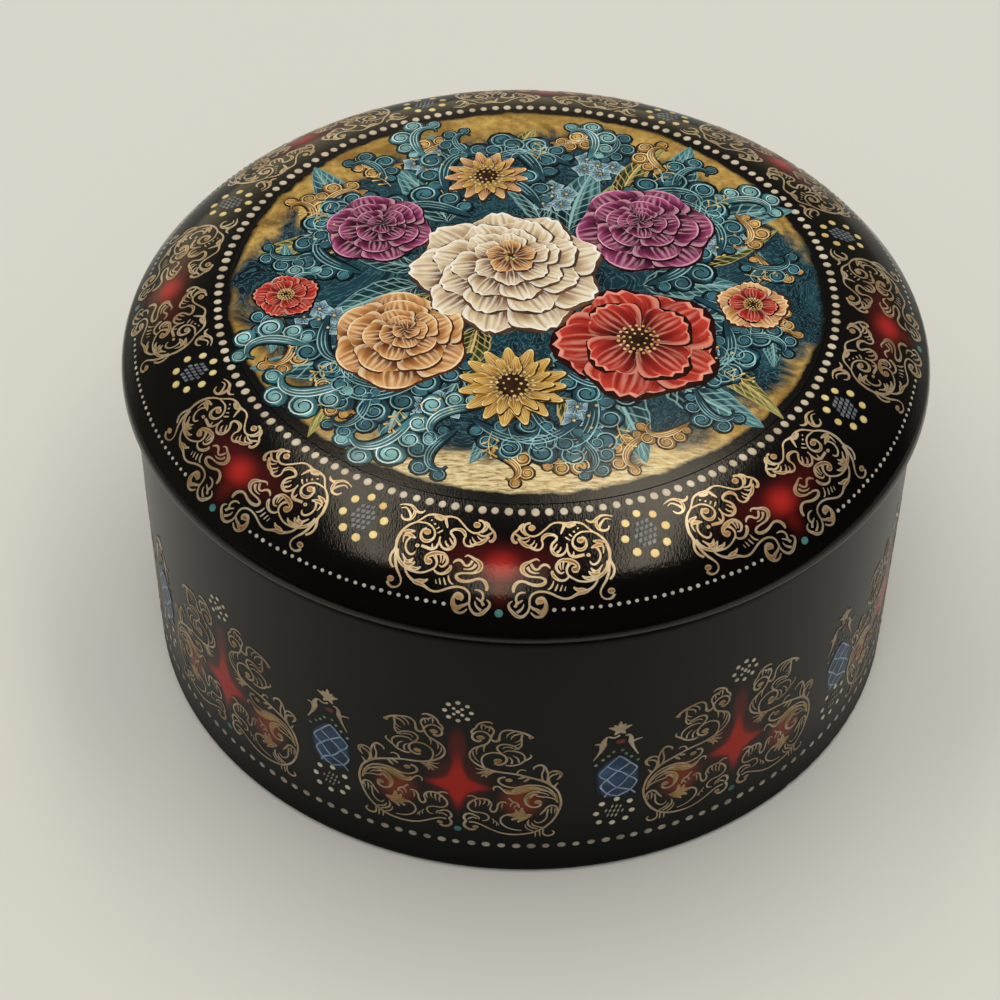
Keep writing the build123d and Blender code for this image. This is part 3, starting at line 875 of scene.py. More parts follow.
# Half a cartouche of the wall: millimetres from the middle line, millimetres above the ground, and width.
wallScroll = {
    "strokes": [
        [(4.95, 31.35, 0.45), (4.7, 30.3, 0.42), (4.25, 29.35, 0.42), (3.4, 28.75, 0.45), (2.55, 28.2, 0.42),
         (1.95, 27.35, 0.42), (1.8, 26.35, 0.42), (2.2, 25.3, 0.42), (2.95, 24.55, 0.45), (3.9, 23.95, 0.5),
         (5, 23.5, 0.5), (6.35, 23.2, 0.48), (7.9, 23, 0.45), (9.1, 22.68, 0.5), (10.1, 22.3, 0.52),
         (11.2, 21.88, 0.5), (12.3, 21.35, 0.55), (13.2, 20.65, 0.58), (13.9, 19.85, 0.5), (14.45, 19, 0.48),
         (14.8, 17.9, 0.48), (15, 16.7, 0.5), (14.95, 15.5, 0.5), (14.6, 14.1, 0.48), (14.1, 12.75, 0.46),
         (13.3, 11.45, 0.46), (12.2, 10.35, 0.5), (10.9, 9.6, 0.5), (9.45, 9.22, 0.44), (7.9, 9.12, 0.4),
         (6.4, 9.38, 0.38), (5.3, 9.85, 0.36), (4.3, 10.45, 0.36), (3.4, 11, 0.36), (2.5, 11.38, 0.38),
         (1.7, 11.35, 0.42)],
        [(4.8, 30.8, 0.35), (4.4, 31.45, 0.38), (3.8, 31.88, 0.38), (3.1, 31.9, 0.36), (2.45, 31.45, 0.4),
         (2.15, 30.75, 0.45), (2.35, 30.05, 0.52), (2.95, 29.72, 0.58), (3.45, 29.95, 0.55)],
        [(5.05, 33.75, 0.28), (4.6, 34.05, 0.42), (3.95, 34, 0.52), (3.3, 33.7, 0.45), (2.8, 33.1, 0.38),
         (2.65, 32.6, 0.36), (2.25, 32.1, 0.42), (2.05, 31.5, 0.42), (2.2, 31.05, 0.25)],
        [(4.95, 31.3, 0.38), (5.2, 31.9, 0.38), (5.1, 32.55, 0.42), (4.7, 33, 0.5), (4.1, 33.1, 0.4),
         (3.75, 33.45, 0.3)],
        [(4.75, 32.9, 0.3), (4.55, 32.4, 0.25), (4.6, 31.95, 0.12)],
        [(3.55, 33.5, 0.42), (3.45, 32.9, 0.32), (3.55, 32.25, 0.14)],
        [(4.2, 33, 0.25), (4, 32.6, 0.15)],
        [(10.5, 31.1, 0.5), (10.1, 31.55, 0.52), (9.2, 32.1, 0.5), (8.2, 32.4, 0.42), (7.3, 32.55, 0.4),
         (6.6, 32.35, 0.42), (6.15, 31.8, 0.4), (6, 31, 0.42), (5.9, 30.25, 0.6), (5.4, 29.98, 0.6),
         (4.85, 30.3, 0.4)],
        [(10.5, 31.2, 0.45), (10.35, 30.75, 0.3)],
        [(9.4, 31.9, 0.4), (8.7, 31.75, 0.4), (8.05, 31.4, 0.34), (7.7, 30.9, 0.26), (7.65, 30.5, 0.12)],
        [(8.1, 32.2, 0.3), (7.45, 31.85, 0.32), (7.1, 31.3, 0.26), (7.05, 30.8, 0.12)],
        [(9.2, 31.6, 0.45), (9.1, 30.8, 0.42), (9.15, 30, 0.38), (9.1, 29.2, 0.38), (8.65, 28.6, 0.34),
         (8.1, 28.45, 0.3)],
        [(9, 30.6, 0.25), (8.6, 30.1, 0.22), (8.15, 29.9, 0.12)],
        [(8.95, 29.7, 0.25), (8.55, 29.3, 0.22), (8.15, 29.25, 0.12)],
        [(8.8, 28.4, 0.26), (8.3, 28.9, 0.34), (7.6, 29.3, 0.36), (6.8, 29.45, 0.38), (6.05, 29.2, 0.42),
         (5.7, 28.55, 0.46), (5.95, 27.85, 0.42), (6.4, 27.4, 0.3)],
        [(8, 28.6, 0.26), (7.4, 28.85, 0.3), (6.8, 28.75, 0.26), (6.4, 28.35, 0.14)],
        [(3.95, 23.95, 0.4), (3.6, 24.8, 0.38), (3.5, 25.7, 0.36), (3.75, 26.6, 0.36), (4.4, 27.2, 0.38),
         (5.2, 27.5, 0.4), (6, 27.4, 0.42), (6.7, 27, 0.45), (7.05, 26.3, 0.48), (6.95, 25.55, 0.52),
         (6.45, 25.05, 0.55), (5.8, 24.9, 0.58), (5.3, 25.2, 0.55)],
        [(10.4, 27.3, 0.22), (10.55, 26.85, 0.36), (10.1, 26.3, 0.42), (9.5, 25.8, 0.42), (9, 25.25, 0.42),
         (8.3, 24.9, 0.45), (7.6, 24.75, 0.45), (6.9, 24.85, 0.35)],
        [(9.6, 26.05, 0.26), (9.62, 26.8, 0.34), (9.25, 27.45, 0.38), (8.55, 27.9, 0.4), (7.8, 28.05, 0.34),
         (7.1, 28, 0.26), (6.6, 27.6, 0.18)],
        [(8.8, 25.5, 0.4), (8.75, 26.1, 0.38), (8.4, 26.65, 0.3), (7.9, 27, 0.14)],
        [(7.75, 25.15, 0.42), (7.85, 25.8, 0.38), (7.6, 26.4, 0.28), (7.2, 26.7, 0.12)],
        [(3.95, 28.9, 0.38), (3.8, 28.2, 0.3), (3.85, 27.5, 0.12)],
        [(3, 28.4, 0.34), (2.72, 27.6, 0.3), (2.85, 26.8, 0.12)],
        [(2.25, 27.4, 0.3), (2.35, 26.5, 0.28), (2.8, 25.6, 0.22), (3.2, 25.1, 0.1)],
        [(5.4, 23.35, 0.45), (4.7, 22.95, 0.8), (4.25, 22.4, 0.6), (4.15, 21.85, 0.25)],
        [(4.6, 22.95, 0.55), (3.95, 22.5, 0.6), (3.45, 22, 0.28)],
        [(4.5, 23.3, 0.5), (3.7, 22.98, 0.55), (3.15, 22.7, 0.4), (2.75, 22.65, 0.22)],
        [(4.3, 23.55, 0.4), (3.6, 23.55, 0.34), (3.05, 23.55, 0.26), (2.6, 23.8, 0.14)],
        [(8.6, 22.9, 0.36), (8.68, 23.4, 0.38), (9, 23.8, 0.36), (9.5, 23.88, 0.32), (9.9, 23.62, 0.18)],
        [(9.8, 22.4, 0.45), (9.2, 22.05, 0.6), (8.75, 21.9, 0.24)],
        [(10.4, 22.1, 0.45), (9.95, 21.6, 0.58), (9.55, 21.2, 0.24)],
        [(14.3, 21.55, 0.22), (14.75, 22.15, 0.5), (14.85, 22.8, 0.7), (14.4, 23.35, 0.62),
         (13.8, 23.5, 0.45), (13.2, 23.15, 0.32), (13.05, 22.7, 0.14)],
        [(13.4, 20.7, 0.42), (13.15, 21.5, 0.42), (13.3, 22.2, 0.42), (13.85, 22.7, 0.42),
         (14.45, 22.85, 0.35)],
        [(12.9, 21.1, 0.36), (12.95, 21.95, 0.36), (13, 22.8, 0.38), (12.85, 23.6, 0.42), (12.55, 24.4, 0.5),
         (11.95, 24.95, 0.55), (11.35, 24.75, 0.46), (10.95, 24.35, 0.38), (10.95, 23.95, 0.22)],
        [(12.35, 21.5, 0.34), (12.15, 22.2, 0.36), (12.15, 23, 0.36), (12.35, 23.8, 0.34),
         (12.35, 24.4, 0.3)],
        [(14.5, 20.85, 0.2), (14.15, 20.35, 0.4), (14, 19.9, 0.35)],
        [(14.3, 16.9, 0.22), (14, 18.4, 0.3), (13.3, 19.45, 0.36), (12.3, 20.15, 0.42), (11.2, 20.42, 0.46),
         (10.1, 20.42, 0.48), (9.2, 20.15, 0.5), (8.4, 19.9, 0.42), (7.6, 19.95, 0.38), (6.85, 20.2, 0.4),
         (6.2, 20.7, 0.42), (5.92, 21.35, 0.48), (6.25, 21.95, 0.52), (6.95, 22.15, 0.5)],
        [(13.95, 17.8, 0.22), (13.4, 18.65, 0.32), (12.6, 19.3, 0.36), (11.6, 19.75, 0.42),
         (10.6, 19.9, 0.55), (9.8, 19.7, 0.75), (9.1, 19.25, 0.85), (8.4, 18.85, 0.85), (7.7, 18.55, 0.62),
         (7.1, 18.65, 0.42), (6.7, 19.1, 0.36), (6.35, 19.6, 0.36), (5.9, 19.98, 0.38), (5.45, 19.88, 0.42),
         (5.22, 19.45, 0.36), (5.3, 18.98, 0.16)],
        [(9.2, 19.8, 0.6), (8.4, 19.4, 0.7), (7.9, 19.05, 0.45)],
        [(13.3, 18, 0.16), (12.6, 18.55, 0.3), (11.8, 18.85, 0.36), (11.2, 19, 0.4)],
        [(12.9, 18.95, 0.14), (12.2, 19.25, 0.26), (11.5, 19.4, 0.26)],
        [(14.6, 16.3, 0.24), (14.1, 17.1, 0.32), (13.2, 17.62, 0.34), (12.2, 17.82, 0.36),
         (11.4, 18.05, 0.4)],
        [(11.9, 19, 0.35), (11.2, 18.95, 0.65), (10.6, 18.6, 0.75), (10.1, 17.95, 0.72), (9.85, 17.2, 0.58),
         (9.9, 16.45, 0.5), (10.35, 15.8, 0.5), (11.1, 15.45, 0.52), (11.85, 15.7, 0.52),
         (12.15, 16.3, 0.52)],
        [(11.6, 18.4, 0.4), (10.9, 18.2, 0.5), (10.5, 17.6, 0.35)],
        [(14.5, 14.5, 0.28), (14.45, 15.2, 0.42), (14, 15.7, 0.48), (13.4, 15.68, 0.48), (12.95, 15.2, 0.46),
         (12.6, 14.55, 0.44), (12.2, 14, 0.38), (12, 13.65, 0.18)],
        [(13.7, 15.4, 0.34), (13.62, 14.6, 0.34), (13.7, 13.8, 0.14)],
        [(14.25, 15.1, 0.26), (14.15, 14.4, 0.24), (14.2, 13.8, 0.1)],
        [(13.2, 14.9, 0.38), (13.05, 14, 0.36), (13, 13.2, 0.34), (12.75, 12.55, 0.34), (12.3, 12.05, 0.34),
         (11.75, 11.85, 0.32), (11.3, 12.15, 0.26), (11.2, 12.5, 0.12)],
        [(12.3, 10.75, 0.34), (11.6, 11, 0.4), (11.05, 11.35, 0.38), (10.8, 11.9, 0.18)],
        [(11.7, 10.4, 0.34), (10.9, 10.8, 0.46), (10.35, 11.4, 0.46), (10.3, 12.1, 0.4),
         (10.45, 12.55, 0.18)],
        [(11, 10, 0.3), (10.3, 10.4, 0.34), (9.95, 11, 0.26), (9.9, 11.5, 0.12)],
        [(12.6, 10.3, 0.32), (12.5, 9.6, 0.34), (12.7, 9.05, 0.42), (13.3, 8.8, 0.46), (13.9, 9, 0.44),
         (14.15, 9.5, 0.36), (13.85, 9.92, 0.22)],
        [(12, 10.1, 0.32), (12.05, 9.4, 0.36), (12.1, 8.7, 0.2)],
        [(11.4, 9.9, 0.3), (11.4, 9.3, 0.34), (11.45, 8.65, 0.18)],
        [(10.9, 13.75, 0.3), (10.4, 13.65, 0.7), (9.8, 13.4, 0.85), (9.2, 13.6, 0.9), (8.6, 13.7, 0.8)],
        [(10.1, 13.1, 0.6), (9.5, 12.7, 0.8), (9, 12.3, 0.6), (8.8, 12, 0.3)],
        [(9.6, 14, 0.8), (9.35, 14.7, 0.8), (9.4, 15.35, 0.4)],
        [(9, 13.9, 0.8), (8.6, 14.5, 0.65), (8.5, 14.95, 0.3)],
        [(9.1, 13.1, 0.8), (8.4, 12.8, 0.75), (7.9, 12.5, 0.4)],
        [(8.9, 13.45, 0.8), (8.2, 13.5, 0.75), (7.5, 13.7, 0.52), (6.9, 13.45, 0.42), (6.42, 12.9, 0.38),
         (6.28, 12.2, 0.36), (6.5, 11.5, 0.34), (6.95, 10.95, 0.32), (7.6, 10.5, 0.3), (8.4, 10.22, 0.28),
         (9.4, 10.08, 0.24)],
        [(8.95, 15.4, 0.36), (8.85, 16, 0.42), (8.45, 16.5, 0.42), (7.95, 16.75, 0.4), (7.72, 17.1, 0.36),
         (7.45, 17.4, 0.22), (7.3, 17.2, 0.12)],
        [(8.2, 16.55, 0.36), (7.8, 16.1, 0.34), (7.72, 15.5, 0.16)],
        [(8.7, 15.9, 0.3), (8.3, 15.5, 0.25), (8.2, 15.1, 0.12)],
        [(7.15, 16.3, 0.2), (6.75, 16.55, 0.38), (6.25, 16.42, 0.44), (5.92, 15.9, 0.44), (5.8, 15.2, 0.4),
         (5.62, 14.5, 0.44), (5.25, 14.12, 0.5), (4.85, 14.42, 0.42), (4.8, 15.1, 0.36), (4.98, 15.7, 0.32),
         (4.8, 16.35, 0.36), (4.35, 16.82, 0.42), (3.7, 17, 0.44), (3, 16.98, 0.44), (2.55, 17.22, 0.42),
         (2.1, 17.42, 0.38), (1.65, 17.3, 0.3), (1.35, 17.15, 0.14)],
        [(6.6, 16.2, 0.3), (6.45, 15.6, 0.28), (6.5, 15, 0.12)],
        [(3.05, 16.95, 0.38), (2.45, 16.55, 0.44), (1.9, 15.95, 0.44), (1.55, 15.25, 0.42),
         (1.58, 14.55, 0.4), (1.98, 14.02, 0.38), (2.65, 13.78, 0.34), (3.4, 13.75, 0.3), (4.1, 13.55, 0.34),
         (4.55, 13, 0.36), (4.5, 12.4, 0.36), (4.05, 12, 0.28), (3.6, 11.95, 0.14)],
        [(4.55, 16.5, 0.32), (4.62, 15.9, 0.28), (4.35, 15.35, 0.12)],
        [(3.95, 16.85, 0.34), (3.95, 16.2, 0.28), (3.7, 15.6, 0.12)],
        [(3.25, 16.7, 0.34), (3.3, 16, 0.28), (3.15, 15.2, 0.12)],
        [(2.55, 16.4, 0.34), (2.7, 15.6, 0.28), (2.6, 14.9, 0.12)],
        [(3.2, 12.2, 0.22), (3.05, 12.7, 0.32), (2.5, 13.02, 0.36), (1.95, 13.3, 0.4), (1.4, 13.2, 0.48),
         (1.02, 12.7, 0.52), (0.95, 12.05, 0.5), (1.3, 11.55, 0.45)],
        [(2.9, 12.3, 0.24), (2.4, 12.5, 0.3), (1.9, 12.35, 0.32), (1.55, 12, 0.3)],
        [(1.3, 11.55, 0.45), (0.98, 11, 0.52), (1, 10.35, 0.56), (1.45, 9.8, 0.58), (2.1, 9.62, 0.55),
         (2.7, 9.85, 0.5)],
        [(5.05, 12.6, 0.16), (5.35, 11.95, 0.24), (5.2, 11.5, 0.14)],
        [(5.55, 12.1, 0.14), (5.8, 11.5, 0.22), (5.7, 11, 0.14)],
        [(5.95, 11.6, 0.12), (6.05, 11.1, 0.18)],
    ],
    "drops": [(3.35, 30.58, 1.2), (5.8, 25.75, 1.2), (7.45, 21.5, 1.05), (11.7, 16.6, 1.15),
              (2.65, 10.35, 0.95), (10.45, 31.05, 0.8)],
    "washes": [
        [(12.4, 19.5, 0.3), (11.2, 19.75, 0.9), (9.9, 19.5, 1.5), (8.7, 19.0, 1.6), (7.6, 18.75, 1.0),
         (6.7, 19.4, 0.4)],
        [(11.2, 18.9, 0.5), (10.4, 18.1, 1.3), (9.95, 17.1, 1.0), (10.2, 16.0, 0.5)],
        [(10.7, 13.6, 0.6), (9.6, 13.4, 1.9), (8.8, 13.7, 1.7), (7.9, 13.6, 0.8), (7.2, 13.6, 0.4)],
        [(13.4, 19.2, 0.3), (14.1, 18.0, 0.7), (14.5, 16.4, 0.4)],
    ],
}
wallPaints = {                       # as the lid's, but darker: painted shade on the upright wall, which gets less light
    "pale shell gold on the wall": (("#816B4F", "#98846A", "#AA9B81"), 2.6, 0.05, 0.55),
    "ochre shell gold on the wall": (("#62421F", "#866434", "#A17F46"), 2.2, 0.05, 0.55),
    "cream tempera on the wall": (("#A39A84", "#BFB69E", "#D0C8B2"), 1.8),
    "grey tempera on the wall": (("#776F62", "#938A7B", "#A69E8E"), 1.8),
    "teal tempera on the wall": (("#26504F", "#356563", "#477A76"), 1.5),
    "blue tempera": (("#17273A", "#263A52", "#355070"), 2.0),
    "pale blue line": (("#5E6F84", "#7E8EA0", "#9CAAB8"), 1.2),
    "dull green tempera": (("#4E5A4C", "#66735F", "#7F8C76"), 1.0),
    "dull red tempera": (("#4A1E1A", "#5E2A24", "#6E332B"), 1.0),
}
wallTrim = {
    "brush": 0.82,
    "fill": (0.45, 0.12),
    "cartouches": [-8.5, 33.1, 73.0, 112.5, 152.0, 192.0, 231.5, 271.5, 311.5],     # degrees from the front
    "lattices": [14.3, 54.6, 94.0, 133.0, 173.0, 213.0, 252.5, 292.0, 332.2],
    "beads": {"count": 165, "up": 6.45, "width": 1.3, "height": 1.08, "uneven": (0.05, 0.05, 0.1, 0.1)},
    "flower": {"centre": (0.15, 35.6), "middle": 0.75, "uneven": 0.08,
               "rings": [(0.85, 4, 45, 0.6), (1.9, 8, 0, 0.82)]},       # reach, count, first turn, width
    "tealDot": {"up": 9.5, "width": 1.2},
}
latticeValues = {
    "middle": 23.0,                  # the lattice's own middle line, in the measures below
    "ground": [(23, 16.3, 3.6), (23, 18, 5.8), (23, 20, 6.4), (23, 22.2, 6.2), (23, 24, 3.8),
               (23.1, 25.2, 1.4)],
    "line": (0.30, 0.03),            # width of the net's lines, and how high they lie
    "net": [
        [(23.1, 25.3), (22.2, 24.3), (21.3, 23.2), (20.5, 22.2), (20.2, 21.6)],
        [(23.1, 25.3), (24, 24.4), (24.8, 23.4), (25.6, 22.5), (25.9, 22)],
        [(21.4, 23.3), (22.2, 22.6), (23, 22), (23.9, 21.3), (24.7, 20.4), (25.5, 19.7), (26, 19)],
        [(24.8, 23.4), (23.9, 22.7), (23, 22), (22.2, 21.2), (21.4, 20.3), (20.8, 19.6), (20.5, 18.9)],
        [(20.2, 21.6), (20.7, 20.9), (21.4, 20.3), (22.2, 19.2), (23, 18.3), (24.1, 17.7), (25, 17.3),
         (25.8, 16.3)],
        [(25.9, 22), (25.4, 21.1), (24.7, 20.4), (23.9, 19.2), (23, 18.3), (22.2, 17.8), (21.6, 17.2),
         (21.2, 16.5)],
        [(20.5, 18.9), (21, 18), (21.6, 17.2), (22.3, 16.7), (23.1, 16.3)],
        [(26, 19), (25.6, 18.1), (25, 17.3), (24.1, 16.8), (23.1, 16.3)],
    ],
    "greenDots": [(19.7, 23.9), (20.7, 24.9), (21.5, 25.6), (22.2, 26.4), (23.5, 26.5), (24.1, 25.6),
                  (24.9, 24.7), (25.9, 23.7)],
    "greenDot": 0.6,
    "leafHeart": (23.0, 31.1),
    "leafWidths": (1.1, 0.85, 0.2),
    "leafTips": [(21.3, 31.8), (22.1, 32.2), (23.0, 32.9), (23.8, 32.2), (24.7, 31.7), (22.2, 30.1),
                 (23.8, 30.1)],
    "sprigs": [
        [(19.3, 25.0, 0.2), (19.9, 26.1, 0.35), (20.4, 27.2, 0.7), (20.6, 28.2, 1.2), (20.8, 29.2, 0.7),
         (21.2, 29.9, 0.3)],
        [(20.4, 28.2, 0.5), (19.9, 28.5, 0.35), (19.4, 28.5, 0.2)],
        [(25.9, 25.0, 0.2), (25.3, 26.3, 0.35), (24.9, 27.4, 0.6), (24.7, 28.2, 0.95), (24.6, 29.2, 0.6),
         (24.2, 29.7, 0.4), (23.8, 29.6, 0.2)],
        [(25.0, 28.1, 0.5), (25.7, 28.35, 0.35), (26.4, 28.4, 0.2)],
        [(21.3, 29.9, 0.3), (22.2, 29.5, 0.35), (23.0, 29.9, 0.4)],
    ],
    "redDot": (1.6, 1.1),
    "redSpot": (23.2, 28.5),
    "dot": 1.0,
    "dots": [(23.1, 15.6), (25.1, 14.6), (25.5, 12.4), (24.6, 10.8), (22.6, 10.3), (20.6, 10.8),
             (20.1, 12.8), (20.9, 14.9)],
    "hatch": {"centre": (22.8, 13.0), "tile": (0.34, 0.9), "step": (0.62, -0.12), "row": (0.3, 0.95),
              "turn": -20},
}


def makeLattice():
    # blue lattice between two cartouches, with its leaf, sprigs and rosette
    values = latticeValues
    width, height = values["line"]
    net = [[(*spot, width) for spot in line] for line in values["net"]]
    heart, widths = values["leafHeart"], values["leafWidths"]
    leaf = []
    for tip in values["leafTips"]:
        halfway = ((heart[0] + tip[0]) / 2, (heart[1] + tip[1]) / 2)
        leaf.append([(*spot, width) for spot, width in zip((heart, halfway, tip), widths)])
    greenDot = makeBead("greenDot", values["greenDot"], sides=8)
    creamDot = makeBead("creamDot", values["dot"])
    tile = makeTile("hatchTile", *values["hatch"]["tile"])
    parts = [(paintStrokes("ground", [values["ground"]], 6), Matrix(), 0),
             (paintStrokes("net", net, 3), shift(0, 0, height=height), 1),
             *((greenDot, shift(*spot), 2) for spot in values["greenDots"]),
             (paintStrokes("sprigs", values["sprigs"] + leaf), Matrix(), 3),
             (makeBead("redDot", *values["redDot"]), shift(*values["redSpot"]), 4),
             *((creamDot, shift(*spot), 5) for spot in values["dots"])]
    hatch = values["hatch"]
    for row in range(-1, 2):
        for column in range(-2, 3):
            if abs(row) + abs(column) < 3:
                right = hatch["centre"][0] + column * hatch["step"][0] + row * hatch["row"][0]
                up = hatch["centre"][1] + row * hatch["row"][1] + column * hatch["step"][1]
                parts.append((tile, shift(right, up, math.radians(hatch["turn"])), 6))
    back = shift(-values["middle"], 0)
    return [(pattern, back @ lay, slot) for pattern, lay, slot in parts]


def decorateWall():
    gold, ochre, cream, grey, teal, blue, line, green, red = mixPaints("wall", wallPaints)
    turns = wallTrim["cartouches"]

    strokes = bothSides(wallScroll, wallTrim["brush"])
    washes = [[(hand * across, up, width) for across, up, width in stroke]
              for stroke in wallScroll["washes"] for hand in (1, -1)]
    fill = paintStrokes("wallFill", fillOf(strokes, *wallTrim["fill"]), 3)
    parts = [(paintStrokes("wallScroll", strokes), Matrix(), 0),
             (fill, shift(0, 0, height=film["over"]), 1),
             (paintStrokes("wallWash", washes, 3), shift(0, 0, height=-film["over"]), 1)]
    copyRound(layOn("wallScroll", parts, [gold, ochre], "wall", "base"), turns, "base")

    values = wallTrim["flower"]
    bead = makeBead("flowerDot", 1.0)     # 1 mm wide, so that its sizes are widths
    parts = [(bead, shift(*values["centre"], 0, values["middle"]), 0)]
    for reach, count, first, width in values["rings"]:
        parts += beadRing(bead, values["centre"], (reach, reach), count, first, width, values["uneven"])
    copyRound(layOn("wallFlower", parts, [cream], "wall", "base"), turns, "base")

    paints = [blue, line, green, gold, red, cream, grey]
    lattice = layOn("wallLattice", makeLattice(), paints, "wall", "base")
    copyRound(lattice, wallTrim["lattices"], "base")

    values = wallTrim["beads"]
    bead = makeBead("wallBead", values["width"], values["height"])
    pitch = math.tau * wallShape["flatRadius"] / values["count"]
    parts = beadRow(bead, range(values["count"]), pitch, values["up"], values["uneven"])
    layOn("wallBeads", parts, [grey], "wall", "base")

    values = wallTrim["tealDot"]
    bead = makeBead("wallTealDot", values["width"], sides=14, rings=6)
    parts = [(bead, shift(math.radians(turn) * wallShape["flatRadius"], values["up"]), 0) for turn in turns]
    layOn("wallTealDots", parts, [teal], "wall", "base")
    print("wall: scrolls, lattices, beads")


# The picture: a traditional painted bouquet. Places are millimetres to the right and to the back of the
# lid's centre, and directions are degrees from the back towards the right.

# a row of two or four numbers is what a noise or a distance is mapped from and to
groundValues = {
    "night": "#081A21",              # ground between the leaves
    "sea": "#1A3D48",
    "foam": "#46707A",
    "haze": "#86662C",               # gold cloud that drifts in from the rim
    "hazePale": "#C8A458",
    "shore": "#E0CFA0",              # paler gold along the front edge, shown where the crinkles peak: paint and painted glints
    "bare": "#0B0908",
    "roughness": 0.6,
    "swirl": {"Scale": 75.0, "Detail": 5.0, "Roughness": 0.6, "Distortion": 2.2},    # brush marks 10 mm wide
    "patch": {"Scale": 26.0, "Detail": 1.0},
    "fleck": {"Scale": 420.0, "Detail": 4.0, "Roughness": 0.7},
    "crinkle": {"Scale": 1.0, "Detail": 3.0, "Roughness": 0.7},
    "crinkleLay": (520, 2300, 520),
    "deep": (0.36, 0.66),
    "hairPitch": 0.03,               # brush hairs that follow the swirls, about 0.8 mm apart
    "hair": (0.011, 0.003, 0.0, 0.6),
    # how far the swirls, the patches and the way to the front or back move the cloud's edge
    "drift": (13.0, 26.0, 220.0),
    "cloud": (60.0, 64.0),
    "mottle": (0.16, 0.36),
    "shoreEdge": (-0.028, -0.037),
    "glint": (0.36, 0.58),
    "rimBack": (-0.035, -0.010, 0.0, -1.3),      # the ground reaches further out at the back
    "ragged": 2.6,
    "rim": (42.7, 43.4),             # radius where the painted ground stops, raggedly
}


def makePictureGround():
    # deep blue-green ground with swirling brush marks, and a rubbed gold haze in patches from the rim
    values = groundValues
    material, shader, add = newMaterial("painted ground")
    turn, reach, up = polar(add)
    place = add("TexCoord").outputs["Object"]
    back = add("SeparateXYZ", [place]).outputs[1]
    swirl, patch, fleck = (add("TexNoise", {"Vector": place, **values[noise]})
                           for noise in ("swirl", "patch", "fleck"))
    deep = add("MapRange", [swirl, *values["deep"]])
    body = add("Mix", {0: deep, 6: values["night"], 7: values["sea"]}, data_type="RGBA")
    beat = add("Math", [swirl, values["hairPitch"]], operation="PINGPONG")
    hair = add("MapRange", [beat, *values["hair"]])
    sea = add("Mix", {0: hair, 6: body, 7: values["foam"]}, data_type="RGBA")
    depth = add("Math", [back], operation="ABSOLUTE")
    edge = reach
    for field, share in zip((swirl, patch, depth), values["drift"]):
        edge = add("Math", [field, share, edge], operation="MULTIPLY_ADD")
    cloud = add("MapRange", [edge, *values["cloud"]], interpolation_type="SMOOTHSTEP")
    mottle = add("Math", [fleck, swirl], operation="MULTIPLY")
    tone = add("MapRange", [mottle, *values["mottle"]])
    gold = add("Mix", {0: tone, 6: values["haze"], 7: values["hazePale"]}, data_type="RGBA")
    lay = add("Mapping", {"Vector": place, "Scale": values["crinkleLay"]})
    crinkle = add("TexNoise", {"Vector": lay, **values["crinkle"]})
    # along the front the crinkles peak in pale flecks: pale gold paint, and painted glints where the
    # crinkled paint would catch light
    front = add("MapRange", [back, *values["shoreEdge"]], interpolation_type="SMOOTHSTEP")
    glint = add("MapRange", [crinkle, *values["glint"]])
    shine = add("Math", [front, glint], operation="MULTIPLY")
    golden = add("Mix", {0: shine, 6: gold, 7: values["shore"]}, data_type="RGBA")
    colour = add("Mix", {0: cloud, 6: sea, 7: golden}, data_type="RGBA")
    wider = add("Math", [reach, add("MapRange", [back, *values["rimBack"]])], operation="ADD")
    ragged = add("Math", [swirl, values["ragged"], wider], operation="MULTIPLY_ADD")
    rim = add("MapRange", [ragged, *values["rim"]])
    painted = add("Mix", {0: rim, 6: colour, 7: values["bare"]}, data_type="RGBA")
    underLacquer(add, shader, "picture", painted, values["roughness"])
    return material


# its rows of four are ranges too: from, to, least, most
petalValues = {
    "roughness": 0.6,
    "patch": {"Scale": 420.0, "Detail": 3.0},
    "lean": (0.30, -0.36),           # light from one side, and the middle of the tones
    "spread": 0.42,
    "middle": (0.45, 0.55),          # where the body tone lies between the dark and the tip
    "hairs": {"Scale": 1.0, "Detail": 2.0, "Roughness": 0.4},
    "lay": (13.0, 1.1, 1),           # hair strokes to a petal's width
    "leafLay": (9.0, 1.1, 1),
    "pale": (0.50, 0.66, 0.0, 0.55),
    "dark": (0.46, 0.30, 0.0, 0.55),
    "rim": (0.44, 0.475, 0.0, 0.7),
    "crest": (0.93, 0.965, 0.0, 0.95),
    "rib": (0.05, 0.02, 0.0, 0.9),
    "veinLean": -0.42,
    "veinPitch": 0.055,
    "vein": (0.012, 0.004, 0.0, 0.75),
}


